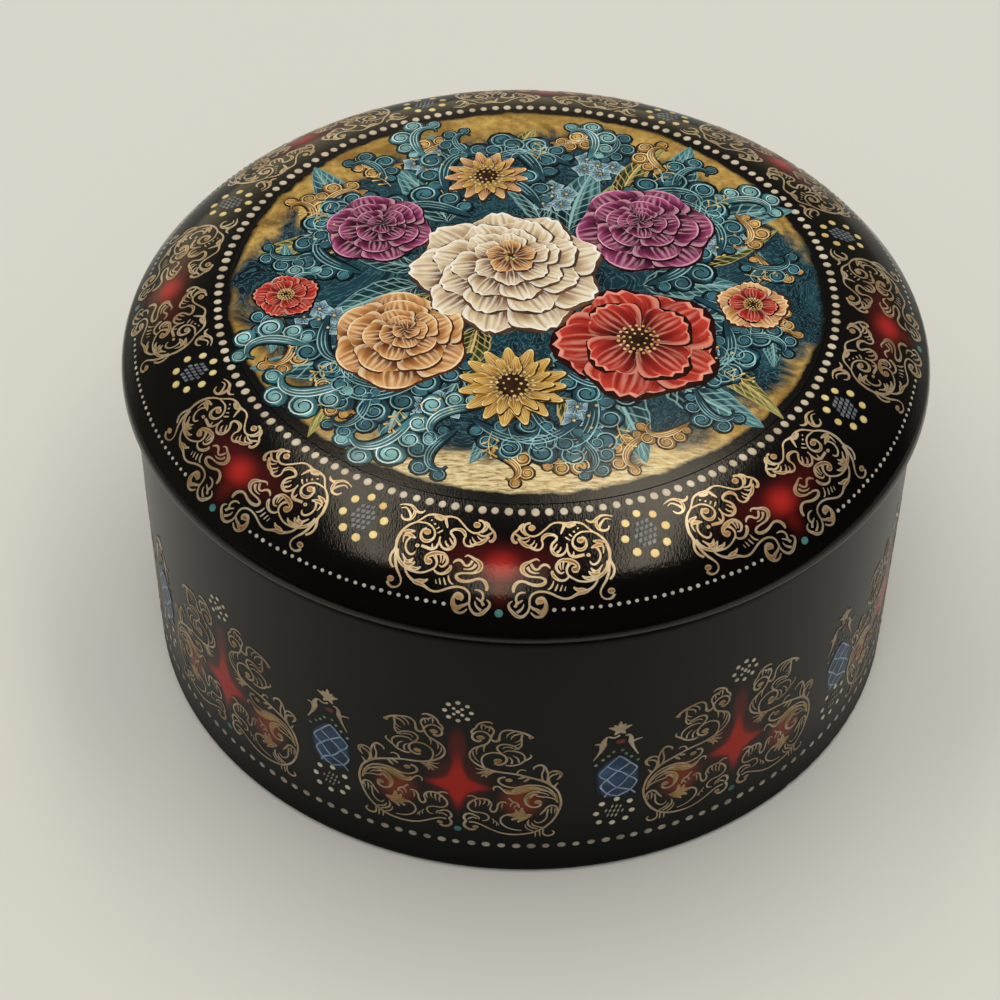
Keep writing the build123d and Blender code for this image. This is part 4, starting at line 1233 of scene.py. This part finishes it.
def petalMaterial(name, tones, leaf=False):
    # tempera laid from dark to light, then hair strokes along the petal and a fine pale line round its edge
    values = petalValues
    deep, body, tip, line, start = tones
    material, shader, add = newMaterial(name)
    place = add("TexCoord").outputs
    across, along = add("SeparateXYZ", [place["UV"]]).outputs[:2]
    patch = add("TexNoise", {"Vector": place["Object"], **values["patch"]})
    lean = add("Math", [across, *values["lean"]], operation="MULTIPLY_ADD")
    lift = add("Math", [patch, values["spread"], lean], operation="MULTIPLY_ADD")
    ramp = add("ValToRGB", [add("Math", [along, lift], operation="ADD")])
    first, last = ramp.color_ramp.elements
    first.position, last.position = start, 1.0
    first.color, last.color = hexColour(deep), hexColour(tip)
    middle = start * values["middle"][0] + values["middle"][1]
    ramp.color_ramp.elements.new(middle).color = hexColour(body)
    lay = add("Mapping", {"Vector": place["UV"], "Scale": values["leafLay" if leaf else "lay"]})
    hairs = add("TexNoise", {"Vector": lay, **values["hairs"]})
    pale = add("MapRange", [hairs, *values["pale"]])
    streaked = add("Mix", {0: pale, 6: ramp, 7: line}, data_type="RGBA")
    dark = add("MapRange", [hairs, *values["dark"]])
    shaded = add("Mix", {0: dark, 6: streaked, 7: deep}, data_type="RGBA")
    side = add("Math", [add("Math", [across, 0.5], operation="SUBTRACT")], operation="ABSOLUTE")
    rim = add("MapRange", [side, *values["rim"]])
    if leaf:
        slope = add("Math", [side, values["veinLean"], along], operation="MULTIPLY_ADD")
        beat = add("Math", [slope, values["veinPitch"]], operation="PINGPONG")
        veins = [add("MapRange", [side, *values["rib"]]), add("MapRange", [beat, *values["vein"]])]
        edges = [add("Math", veins, operation="MAXIMUM"), rim]
    else:
        edges = [rim, add("MapRange", [along, *values["crest"]])]
    edge = add("Math", edges, operation="MAXIMUM")
    colour = add("Mix", {0: edge, 6: shaded, 7: line}, data_type="RGBA")
    underLacquer(add, shader, "picture", colour, values["roughness"], True)
    return material


def thickGrid(name, steps):
    # a grid from -1 to 1, drawn down by 1, for a petal or a leaf to be shaped from
    bpy.ops.object.select_all(action="DESELECT")
    bpy.ops.mesh.primitive_grid_add(x_subdivisions=steps[0], y_subdivisions=steps[1], size=2)
    bpy.ops.object.mode_set(mode="EDIT")
    bpy.ops.mesh.select_all(action="SELECT")
    bpy.ops.mesh.extrude_region_move(TRANSFORM_OT_translate={"value": (0, 0, -1)})
    bpy.ops.object.mode_set(mode="OBJECT")
    return flatMesh(name)


leafPaints = {
    "teal": ("#07191E", "#173E46", "#3C7377", "#93BDBA", 0.06),
    "moss": ("#10190B", "#38481F", "#7A8442", "#DDC27C", 0.06),
}
leafShapes = {        # length, width, bend
    "broadLeaf": (14.5, 6.4, 0.16),
    "slimLeaf": (13.0, 3.6, 0.34),
    "smallLeaf": (7.5, 3.4, 0.20),
}
leafRelief = {
    "steps": (6, 14),            # how finely a leaf is cut
    "low": 0.010,
    "swell": 0.015,
    "foot": -0.25,
    "teeth": (5, 0.10),          # how many on a side, and how deep
    "belly": (0.72, 0.85),       # how near the stalk the leaf is widest, and how full it is
    "stalk": (0.06, 0.94),       # share of the width at the stalk, and the rest
    "tip": 0.02,
    "sweep": 0.16,               # how far the sides run ahead of the rib
    "stagger": 0.004,            # heights of leaves that lie over each other
}
leaves = [            # shape, place of the stalk, direction, size, hand, paint
    ("broadLeaf", (6, 12), 5, 1.15, 1, "teal"), ("broadLeaf", (9, 13), 32, 0.9, -1, "moss"),
    ("slimLeaf", (2, 14), -12, 1.1, -1, "teal"), ("broadLeaf", (-12, 14), -22, 1.1, -1, "teal"),
    ("slimLeaf", (-9, 16), -48, 1.15, 1, "moss"), ("broadLeaf", (-26, 16), -38, 1.0, 1, "teal"),
    ("broadLeaf", (-27, 9), -85, 0.9, -1, "moss"), ("slimLeaf", (-16, 3), -78, 1.2, 1, "teal"),
    ("broadLeaf", (-16, -1), -110, 1.05, -1, "teal"), ("broadLeaf", (-24, -16), -105, 1.05, 1, "teal"),
    ("slimLeaf", (-22, -18), -130, 1.15, -1, "moss"), ("broadLeaf", (-16, -19), -160, 1.1, -1, "teal"),
    ("slimLeaf", (-9, -18), -172, 1.2, 1, "teal"), ("broadLeaf", (-7, -10), 185, 0.8, 1, "moss"),
    ("broadLeaf", (6, -12), 168, 1.1, -1, "teal"), ("slimLeaf", (5, -24), 150, 1.1, 1, "moss"),
    ("broadLeaf", (11, -20), 150, 1.15, 1, "teal"), ("broadLeaf", (20, -19), 132, 1.1, -1, "teal"),
    ("slimLeaf", (24, -15), 112, 1.2, 1, "moss"), ("broadLeaf", (22, -6), 96, 0.95, -1, "teal"),
    ("broadLeaf", (17, 0), 78, 1.05, 1, "teal"), ("slimLeaf", (24, 6), 74, 1.2, -1, "moss"),
    ("broadLeaf", (25, 15), 60, 1.1, 1, "teal"), ("broadLeaf", (20, 21), 28, 1.05, -1, "teal"),
    ("slimLeaf", (14, 21), 8, 1.2, 1, "moss"), ("smallLeaf", (9, -3), 110, 1.2, 1, "moss"),
    ("smallLeaf", (-14, -3), -140, 1.2, 1, "moss"), ("smallLeaf", (-2, 32), 10, 1.0, 1, "moss"),
    ("smallLeaf", (-10, 31), -35, 1.1, -1, "teal"), ("smallLeaf", (-35, 2), -20, 1.0, 1, "teal"),
    ("smallLeaf", (-36, -7), -165, 1.0, -1, "teal"), ("smallLeaf", (34, 2), 15, 1.0, -1, "teal"),
    ("smallLeaf", (35, -8), 165, 1.0, 1, "teal"), ("smallLeaf", (-4, -30), -165, 1.0, 1, "teal"),
    ("smallLeaf", (2, -30), 160, 1.0, -1, "moss"),
]


def makeLeaf(name, shape, steps):
    # one leaf along +Y from its stalk, toothed towards the stalk and pointed
    values = leafRelief
    length, width, bend = shape
    mesh = thickGrid(name, steps)
    for vertex in mesh.vertices:
        side, along, top = vertex.co.x, (vertex.co.y + 1) / 2, vertex.co.z > -0.5
        tooth = 1 + values["teeth"][1] * math.cos(along * math.tau * values["teeth"][0]) * (1 - along)
        half = width * values["tip"]
        if along < 0.999:
            place, full = values["belly"]
            belly = math.sin(math.pi * along ** place) ** full
            half = width / 2 * (values["stalk"][0] + values["stalk"][1] * belly * tooth)
        vertex.co.x = side * half + bend * length * along ** 2
        vertex.co.y = length * (along - values["sweep"] * side * side * along * (1 - along))
        vertex.co.z = values["low"] + values["swell"] * (1 - side * side) if top else values["foot"]
    return mesh


def paintLeaves():
    greens = {name: petalMaterial(name + " leaf tempera", tones, True) for name, tones in leafPaints.items()}
    blades = {name: makeLeaf(name, shape, leafRelief["steps"]) for name, shape in leafShapes.items()}
    slots = list(greens)
    parts = []
    for number, (shape, spot, turn, size, hand, green) in enumerate(leaves):
        lay = shift(*spot, -math.radians(turn), size, leafRelief["stagger"] * (number % 5), hand)
        parts.append((blades[shape], lay, slots.index(green)))
    layOn("leaves", parts, list(greens.values()), "picture", "lid")


scrollPaints = {      # understroke, body, lobes, light line
    "sea": ("#06151A", "#1B3B45", "#35606A", "#86AFAF"),
    "foam": ("#0C2529", "#3A686D", "#72A09F", "#C8DDD8"),
    "gold": ("#2E1B0C", "#8C6530", "#B58B4C", "#EFD7A4"),
}
scrollValues = {
    "length": 16.0,
    "steps": 30,
    "bend": ((0.3, 1), (1.0, 2), (2.6, 4)),          # how the stem turns: radians, power
    "puffs": [(4, 1.3), (9, 1.9), (15, 2.5), (21, 2.0), (26, 1.5)],     # step of the stem, size
    "rim": 0.45,                     # how much wider the understroke is
    # light lines: place across the stem, first and last step, width
    "lines": [(0.30, 2, 28, 0.30), (0.04, 4, 26, 0.22), (-0.20, 5, 23, 0.22)],
    "uneven": (4, 0.9, 1.1),         # degrees of turn, least and most size
    "foamHeight": 0.036,
    "stagger": 0.002,                # heights of neighbours in a row
    "layer": 0.008,                  # height from one coat of a scroll to the next
    "tones": (0.78, 1.0, 1.25),
    "perPiece": 24,                  # keeps each piece's mesh small enough to export whole
}
# scrolls in a row round the centre: count, radius of the foot, first turn, lean, size, paint, height
scrollRows = [
    (9, 36.2, 20.0, 84, 0.60, "gold", 0.000), (10, 35.0, 5.0, -80, 0.62, "gold", 0.004),
    (12, 24.5, 3.0, 20, 1.00, "sea", 0.010), (12, 29.5, 12.0, 62, 0.82, "sea", 0.020),
    (9, 17.5, 8.0, 28, 0.92, "sea", 0.016), (12, 32.0, 15.0, -34, 0.64, "sea", 0.030),
]
foamScrolls = [       # single pale scrolls: place, turn, size, hand
    ((-24.0, -20.5), 120, 0.95, 1), ((-30.5, -14.0), 60, 0.85, -1), ((-15.0, -27.5), 150, 0.9, 1),
    ((-5.5, -26.0), 95, 0.8, -1), ((-33.5, -5.5), 20, 0.7, 1), ((28.0, 20.5), -60, 0.75, 1),
    ((9.0, 30.5), -20, 0.75, -1), ((-16.0, 30.5), 30, 0.75, 1),
]


def curl(centre, radius, start, turns, width):
    # a spiral from its outside in
    steps = max(6, round(turns * 8))
    strokes = []
    for step in range(steps + 1):
        turn = start + turns * math.tau * step / steps
        reach = radius * (1 - 0.85 * step / steps)
        swell = math.sin(math.pi * min(1.0, 0.12 + step / steps)) ** 0.6
        strokes.append((centre.x + reach * math.cos(turn), centre.y + reach * math.sin(turn),
                        width * (0.25 + 0.75 * swell)))
    return strokes


def scrollLeaf():
    # a painted wave, its foot at 0, 0: a stem that sweeps round, with puffs rolling off its outer side.
    # it comes back as coats of paint: strokes, the number of their tone, and how finely they are curved
    values = scrollValues
    path, place, steps, rim = [], Vector((0, 0)), values["steps"], values["rim"]
    for step in range(steps + 1):
        share = step / steps
        heading = sum(turn * share ** power for turn, power in values["bend"])
        ahead = Vector((math.sin(heading), math.cos(heading)))
        swell = 0.4
        if share < 0.94:
            swell += 2.6 * math.sin(math.pi * min(1.0, share * 1.06)) ** 0.8 * (1 - 0.35 * share)
        path.append((place.copy(), Vector((-ahead.y, ahead.x)), swell))
        place += ahead * values["length"] / steps
    stem = [(*spot, swell) for spot, out, swell in path][::2]
    shades, bodies = [[(*spot, width + rim) for *spot, width in stem]], [stem]
    puffs, darks, lights = [], [], []
    for step, size in values["puffs"]:
        spot, out, swell = path[step]
        centre = spot + out * (0.42 * swell + 0.55 * size)
        shades.append(drop(*centre, 2.2 * size + rim))
        bodies.append(drop(*centre, 2.2 * size))
        puffs.append(drop(*(centre + out * 0.20 * size), 1.55 * size))
        begin = math.atan2(-out.y, -out.x)
        darks.append(curl(centre + out * 0.10 * size, 0.74 * size, begin, 1.7, 0.17 * size))
        lights.append(curl(centre + out * 0.08 * size, 0.95 * size, begin + 0.5, 1.4, 0.13 * size))
    for offset, first, last, width in values["lines"]:
        line = []
        for step in range(first, last + 1, 3):
            spot, out, swell = path[step]
            thick = 0.35 + 0.65 * math.sin(math.pi * (step - first) / (last - first))
            line.append((*(spot + out * offset * swell), width * thick))
        lights.append(line)
    return [(shades, 0, 1), (bodies, 1, 1), (puffs, 2, 2), (darks, 0, 2), (lights, 3, 2)]


def paintScrolls():
    values = scrollValues
    coats = [(paintStrokes("scroll", strokes, steps), tone) for strokes, tone, steps in scrollLeaf()]
    lays = {name: [] for name in scrollPaints}
    for count, reach, first, lean, size, paint, height in scrollRows:
        for number in range(count):
            angle = math.radians(first + 360 * number / count + waver(values["uneven"][0]))
            hand = 1 if number % 2 else -1
            grow = size * dice.uniform(*values["uneven"][1:])
            spot = (reach * math.sin(angle), reach * math.cos(angle))
            turn = -angle - math.radians(lean) * hand
            lays[paint].append(shift(*spot, turn, grow, height + values["stagger"] * (number % 3), hand))
    for spot, turn, size, hand in foamScrolls:
        lays["foam"].append(shift(*spot, math.radians(turn), size, values["foamHeight"], hand))
    for name, paints in scrollPaints.items():
        materials = []
        for paint, label in zip(paints, ("shade", "body", "puff", "light")):
            tones = [mixTone(paint, share) for share in values["tones"]]
            materials.append(paintMaterial(f"{name} scroll {label} tempera", "picture", tones, 2.0))
        for number, start in enumerate(range(0, len(lays[name]), values["perPiece"]), 1):
            batch = lays[name][start:start + values["perPiece"]]
            parts = [(coat, shift(0, 0, height=values["layer"] * level) @ lay, tone)
                     for lay in batch for level, (coat, tone) in enumerate(coats)]
            layOn(f"{name}Scrolls_{number}", parts, materials, "picture", "lid")


sprigValues = {
    "places": [(1, 30, 10), (19, 25.5, 35), (26.5, 19.5, 55), (32, 4, 90), (28, -17, 118), (13, -29, 160),
               (-4.5, -31, 184), (-17, -26.5, 205), (-27, -17, 228), (-31, -1.5, 275), (-30, 15.5, 295),
               (-21, 23, 318)],
    "stem": [(0, 0, 0.12), (0.3, 1.6, 0.2), (0.1, 3.4, 0.16), (-0.3, 4.8, 0.1)],
    "twig": [(0.15, 0, 0.12), (0.6, 0.5, 0.2), (1.0, 0.75, 0.45), (1.25, 0.9, 0.2)],
    "twigs": [(0.9, -1), (1.6, 1), (2.4, -1), (3.2, 1), (4.0, -1)],      # place on the stem, side
    "bud": (-0.35, 5.1, 0.5),
    "size": 0.95,
    "height": 0.07,
}


def paintSprigs(gold):
    values = sprigValues
    twigs = [[(side * across if up else across, along + up, width) for across, up, width in values["twig"]]
             for along, side in values["twigs"]]
    sprig = paintStrokes("sprig", [values["stem"], *twigs, drop(*values["bud"])], 2)
    parts = [(sprig, shift(right, back, -math.radians(turn), values["size"], values["height"]), 0)
             for right, back, turn in values["places"]]
    layOn("goldSprigs", parts, [gold], "picture", "lid")


sprayValues = {
    "places": [(3.5, 20.5), (29.0, 12.0), (27.5, -12.5), (9.0, -27.5), (-12.5, -27.0), (-30.0, -8.0),
               (-31.0, 12.5), (-15.5, 29.5), (10.5, 29.0)],
    "reach": 2.3,                    # from the middle flower of a spray to the four round it
    "step": 1.256,                   # radians from one to the next
    "root": 0.25,                    # from a flower's middle to the root of a petal
    "height": 0.04,
    "dotHeight": 0.05,
}


def paintSprays(petal, dot, blue, gold):
    # five small blue flowers to a spray: four round one in the middle
    values = sprayValues
    parts = []
    for number, (right, back) in enumerate(values["places"]):
        for step in range(5):
            turn = dice.uniform(0, math.tau)
            reach = values["reach"] if step < 4 else 0
            around = step * values["step"] + number
            spot = (right + reach * math.sin(around), back + reach * math.cos(around))
            for side in range(5):
                foot = shift(*spot, turn + math.tau * side / 5, height=values["height"])
                parts.append((petal, foot @ shift(0, values["root"]), 0))
            parts.append((dot, shift(*spot, height=values["dotHeight"]), 1))
    layOn("blueFlowers", parts, [blue, gold], "picture", "lid")


# from the heart of a petal to its tip, the light line round it, and how far out the dark reaches
flowerPaints = {
    "cream": ("#6A4630", "#CDB58E", "#EADFC6", "#FBF6E8", 0.46),
    "rose": ("#260718", "#6E2247", "#A6527C", "#E2A9BB", 0.42),
    "poppy": ("#2C0404", "#8E1C16", "#BE382A", "#EE9F88", 0.16),
    "peach": ("#5C2A12", "#B87E45", "#DDB078", "#F8E2B8", 0.40),
    "ochre": ("#472A0A", "#A87826", "#D2A84E", "#F4E0A6", 0.14),
    "blue": ("#1A3849", "#4F7C8F", "#93B9BE", "#DDEEEA", 0.10),
}
# length, width, root as a share of the width, widest place, round of the tip, ruffle, waves
petalShapes = {
    "peonyPetal": (8.6, 9.4, 0.42, 0.72, 0.24, -0.035, 3.0),
    "rosePetal": (6.6, 10.4, 0.55, 0.60, 0.34, -0.03, 1.0),
    "poppyPetal": (10.8, 13.0, 0.16, 0.74, 0.22, 0.04, 4.0),
    "daisyPetal": (5.8, 2.7, 0.35, 0.62, 0.42, -0.02, 1.0),
    "starPetal": (1.75, 1.7, 0.35, 0.62, 0.36, 0.0, 1.0),
}
# how finely each petal is cut: coarser where there are hundreds
petalSteps = {"petal": (8, 9), "star": (2, 3), "shade": (4, 5)}
petalRelief = {                  # heights over the ground coat, and how much a petal narrows to its tip
    "low": 0.012,
    "tilt": 0.012,
    "swell": 0.010,
    "foot": -0.35,
    "taper": 0.30,
}
roseRings = [(6, 4.0, 1.00), (5, 2.8, 0.84), (5, 1.6, 0.66), (4, 0.7, 0.48), (3, 0.1, 0.32)]
# name, place, size, turn, tilt to the back, height, rings of (shape, count, start, size, paint)
flowers = [
    ("peony", (-3.0, 2.5), 1.0, 10, (0.15, 0.75), 0.13, [
        ("peonyPetal", 9, 5.4, 1.00, "cream"), ("peonyPetal", 8, 3.6, 0.86, "cream"),
        ("peonyPetal", 7, 2.4, 0.70, "cream"), ("peonyPetal", 6, 1.4, 0.54, "cream"),
        ("peonyPetal", 5, 0.6, 0.38, "peach")]),
    ("rose", (17.6, 13.2), 1.0, 40, (-0.2, 0.5), 0.11, [("rosePetal", *ring, "rose") for ring in roseRings]),
    ("darkRose", (-22.5, 12.5), 0.78, 15, (0.3, 0.4), 0.11, [
        ("rosePetal", 6, 4.0, 1.00, "rose"), ("rosePetal", 5, 2.6, 0.82, "rose"),
        ("rosePetal", 4, 1.3, 0.62, "rose"), ("rosePetal", 3, 0.3, 0.42, "rose")]),
    ("poppy", (16.2, -12.4), 1.0, 25, (-0.1, 0.5), 0.11, [
        ("poppyPetal", 5, 0.9, 1.00, "poppy"), ("poppyPetal", 4, 0.5, 0.74, "poppy")]),
    ("peachRose", (-18.3, -12.6), 0.95, 60, (0.25, 0.5), 0.12, [
        ("rosePetal", *ring, "peach") for ring in roseRings]),
    ("frontDaisy", (-1.8, -22.0), 1.05, 5, (0, 0), 0.10, [
        ("daisyPetal", 15, 1.8, 1.0, "ochre"), ("daisyPetal", 13, 1.4, 0.72, "ochre")]),
    ("backDaisy", (-6.5, 25.5), 0.85, 12, (0, 0), 0.10, [
        ("daisyPetal", 13, 1.8, 1.0, "peach"), ("daisyPetal", 11, 1.4, 0.70, "ochre")]),
    ("sidePoppy", (33.0, -3.0), 0.45, 70, (0, 0.5), 0.10, [
        ("poppyPetal", 5, 0.9, 1.00, "peach"), ("poppyPetal", 4, 0.5, 0.7, "poppy")]),
    ("leftPoppy", (-35.2, -2.5), 0.40, 10, (0, 0.5), 0.10, [
        ("poppyPetal", 5, 0.9, 1.00, "poppy"), ("poppyPetal", 4, 0.5, 0.7, "poppy")]),
]
flowerValues = {
    "twist": 17,                     # degrees from one ring of petals to the next
    "rise": 0.022,                   # height from one ring to the next
    "uneven": (0.06, 0.05),          # in turn and in size
    "shade": (0.12, -0.22, -0.010),  # where the dark petal lies under each petal, and how much larger it is
    "shadeGrow": (1.06, 1.05, 1, 1),
    "shadeTones": (0.6, 0.85, 1.1),
    "heart": 4.4,
    "stamens": [(2.9, 19), (2.1, 13), (1.2, 7)],     # rings of dots on the heart: reach, count
    "dot": 0.55,
    "dotSizes": (0.8, 1.1),
    "dotHeight": 0.02,
    "peonyDots": (14, 1.1, 0.8, 0.01),       # how many lie loose in the middle, how far out, size, height
}


def makePetal(name, shape, steps):
    # one petal along +Y from its root, ruffled at its tip, its foot sunk in the lacquer
    values = petalRelief
    length, width, root, widest, tipRound, ruffle, waves = shape
    mesh = thickGrid(name, steps)
    for vertex in mesh.vertices:
        side, along, top = vertex.co.x, (vertex.co.y + 1) / 2, vertex.co.z > -0.5
        rise = math.sin(math.pi / 2 * min(1.0, along / widest))
        fall = max(0.0, (along - widest) / (1 - widest))
        half = width / 2 * (root + (1 - root) * rise) * (1 - values["taper"] * fall ** 2)
        wave = ruffle * math.cos(waves * math.pi * side) * along ** 3
        vertex.co.x = side * half
        vertex.co.y = length * (along * (1 - tipRound * side * side * along) + wave)
        lift = values["low"] + values["tilt"] * side + values["swell"] * (1 - side * side)
        vertex.co.z = lift if top else values["foot"]
    return mesh


def paintFlowers(petals, paints, brown, gold, dot):
    values = flowerValues
    shadePetals = {name: makePetal(name + "Shade", shape, petalSteps["shade"])
                   for name, shape in petalShapes.items()}
    shades = []
    for name, tones in flowerPaints.items():
        darker = [mixTone(tones[0], share) for share in values["shadeTones"]]
        shades.append(paintMaterial(name + " shade tempera", "picture", darker, 2.0))
    slots = list(paints)
    heartSlot, dotSlot, shadeSlot = (len(slots) + extra for extra in range(3))
    for name, centre, size, turn, tilt, height, rings in flowers:
        parts = []
        for level, (shape, count, start, scale, paint) in enumerate(rings):
            spot = (centre[0] + tilt[0] * level * size, centre[1] + tilt[1] * level * size)
            for number in range(count):
                angle = math.radians(turn + values["twist"] * level) + math.tau * number / count
                angle += waver(values["uneven"][0])
                grow = size * scale * (1 + waver(values["uneven"][1]))
                foot = shift(*spot, angle, height=height + values["rise"] * level)
                lay = foot @ shift(0, start * size, 0, grow)
                parts.append((petals[shape], lay, slots.index(paint)))
                right, back, down = values["shade"]
                under = shift(right * size, back * size, height=down) @ lay
                under = under @ Matrix.Diagonal(values["shadeGrow"])
                parts.append((shadePetals[shape], under, shadeSlot + slots.index(paint)))
        top = height + values["rise"] * len(rings)
        if "oppy" in name or "Daisy" in name:
            heart = makeBead("heart", values["heart"] * size, sides=20, rings=6)
            parts.append((heart, shift(*spot, height=top), heartSlot))
            for ring, (reach, count) in enumerate(values["stamens"]):
                for step in range(count):
                    angle = math.tau * step / count + ring
                    right = spot[0] + reach * size * math.cos(angle)
                    back = spot[1] + reach * size * math.sin(angle)
                    grow = size ** 0.5 * dice.uniform(*values["dotSizes"])
                    parts.append((dot, shift(right, back, 0, grow, top + values["dotHeight"]), dotSlot))
        elif name == "peony":
            count, reach, width, over = values["peonyDots"]
            for step in range(count):
                lay = shift(spot[0] + waver(reach), spot[1] + waver(reach), 0, width, top + over)
                parts.append((dot, lay, dotSlot))
        layOn(name, parts, [*paints.values(), brown, gold, *shades], "picture", "lid")


finePaints = {
    "fine shell gold": (("#B08A4E", "#D9B871", "#F0DCA0"), 1.0, 0.15, 0.5),
    "umber tempera": (("#1C0E08", "#2E170D", "#4A2A16"), 1.0),
}


def makePicture():
    paints = {name: petalMaterial(name + " petal tempera", tones) for name, tones in flowerPaints.items()}
    gold, brown = mixPaints("picture", finePaints)
    petals = {name: makePetal(name, shape, petalSteps["star" if name == "starPetal" else "petal"])
              for name, shape in petalShapes.items()}
    dot = makeBead("heartDot", flowerValues["dot"], sides=8)
    paintLeaves()
    paintScrolls()
    paintSprigs(gold)
    paintSprays(petals["starPetal"], dot, paints["blue"], gold)
    paintFlowers(petals, paints, brown, gold, dot)
    print("picture: ground, leaves, scrolls, flowers")


makeStage()
brush = makeBrush()
redLacquer = makeRedLacquer()
dressNode("lid_crown", makeLidLacquer())
dressNode("lid_hoop", redLacquer)
dressNode("base_wall", makeWallLacquer())
dressNode("base_liner", redLacquer)
dressNode("base_floor", makeFloorLacquer())
dressNode("picture_panel", makePictureGround())
decorateLid()
decorateWall()
makePicture()
bpy.data.objects.remove(brush)
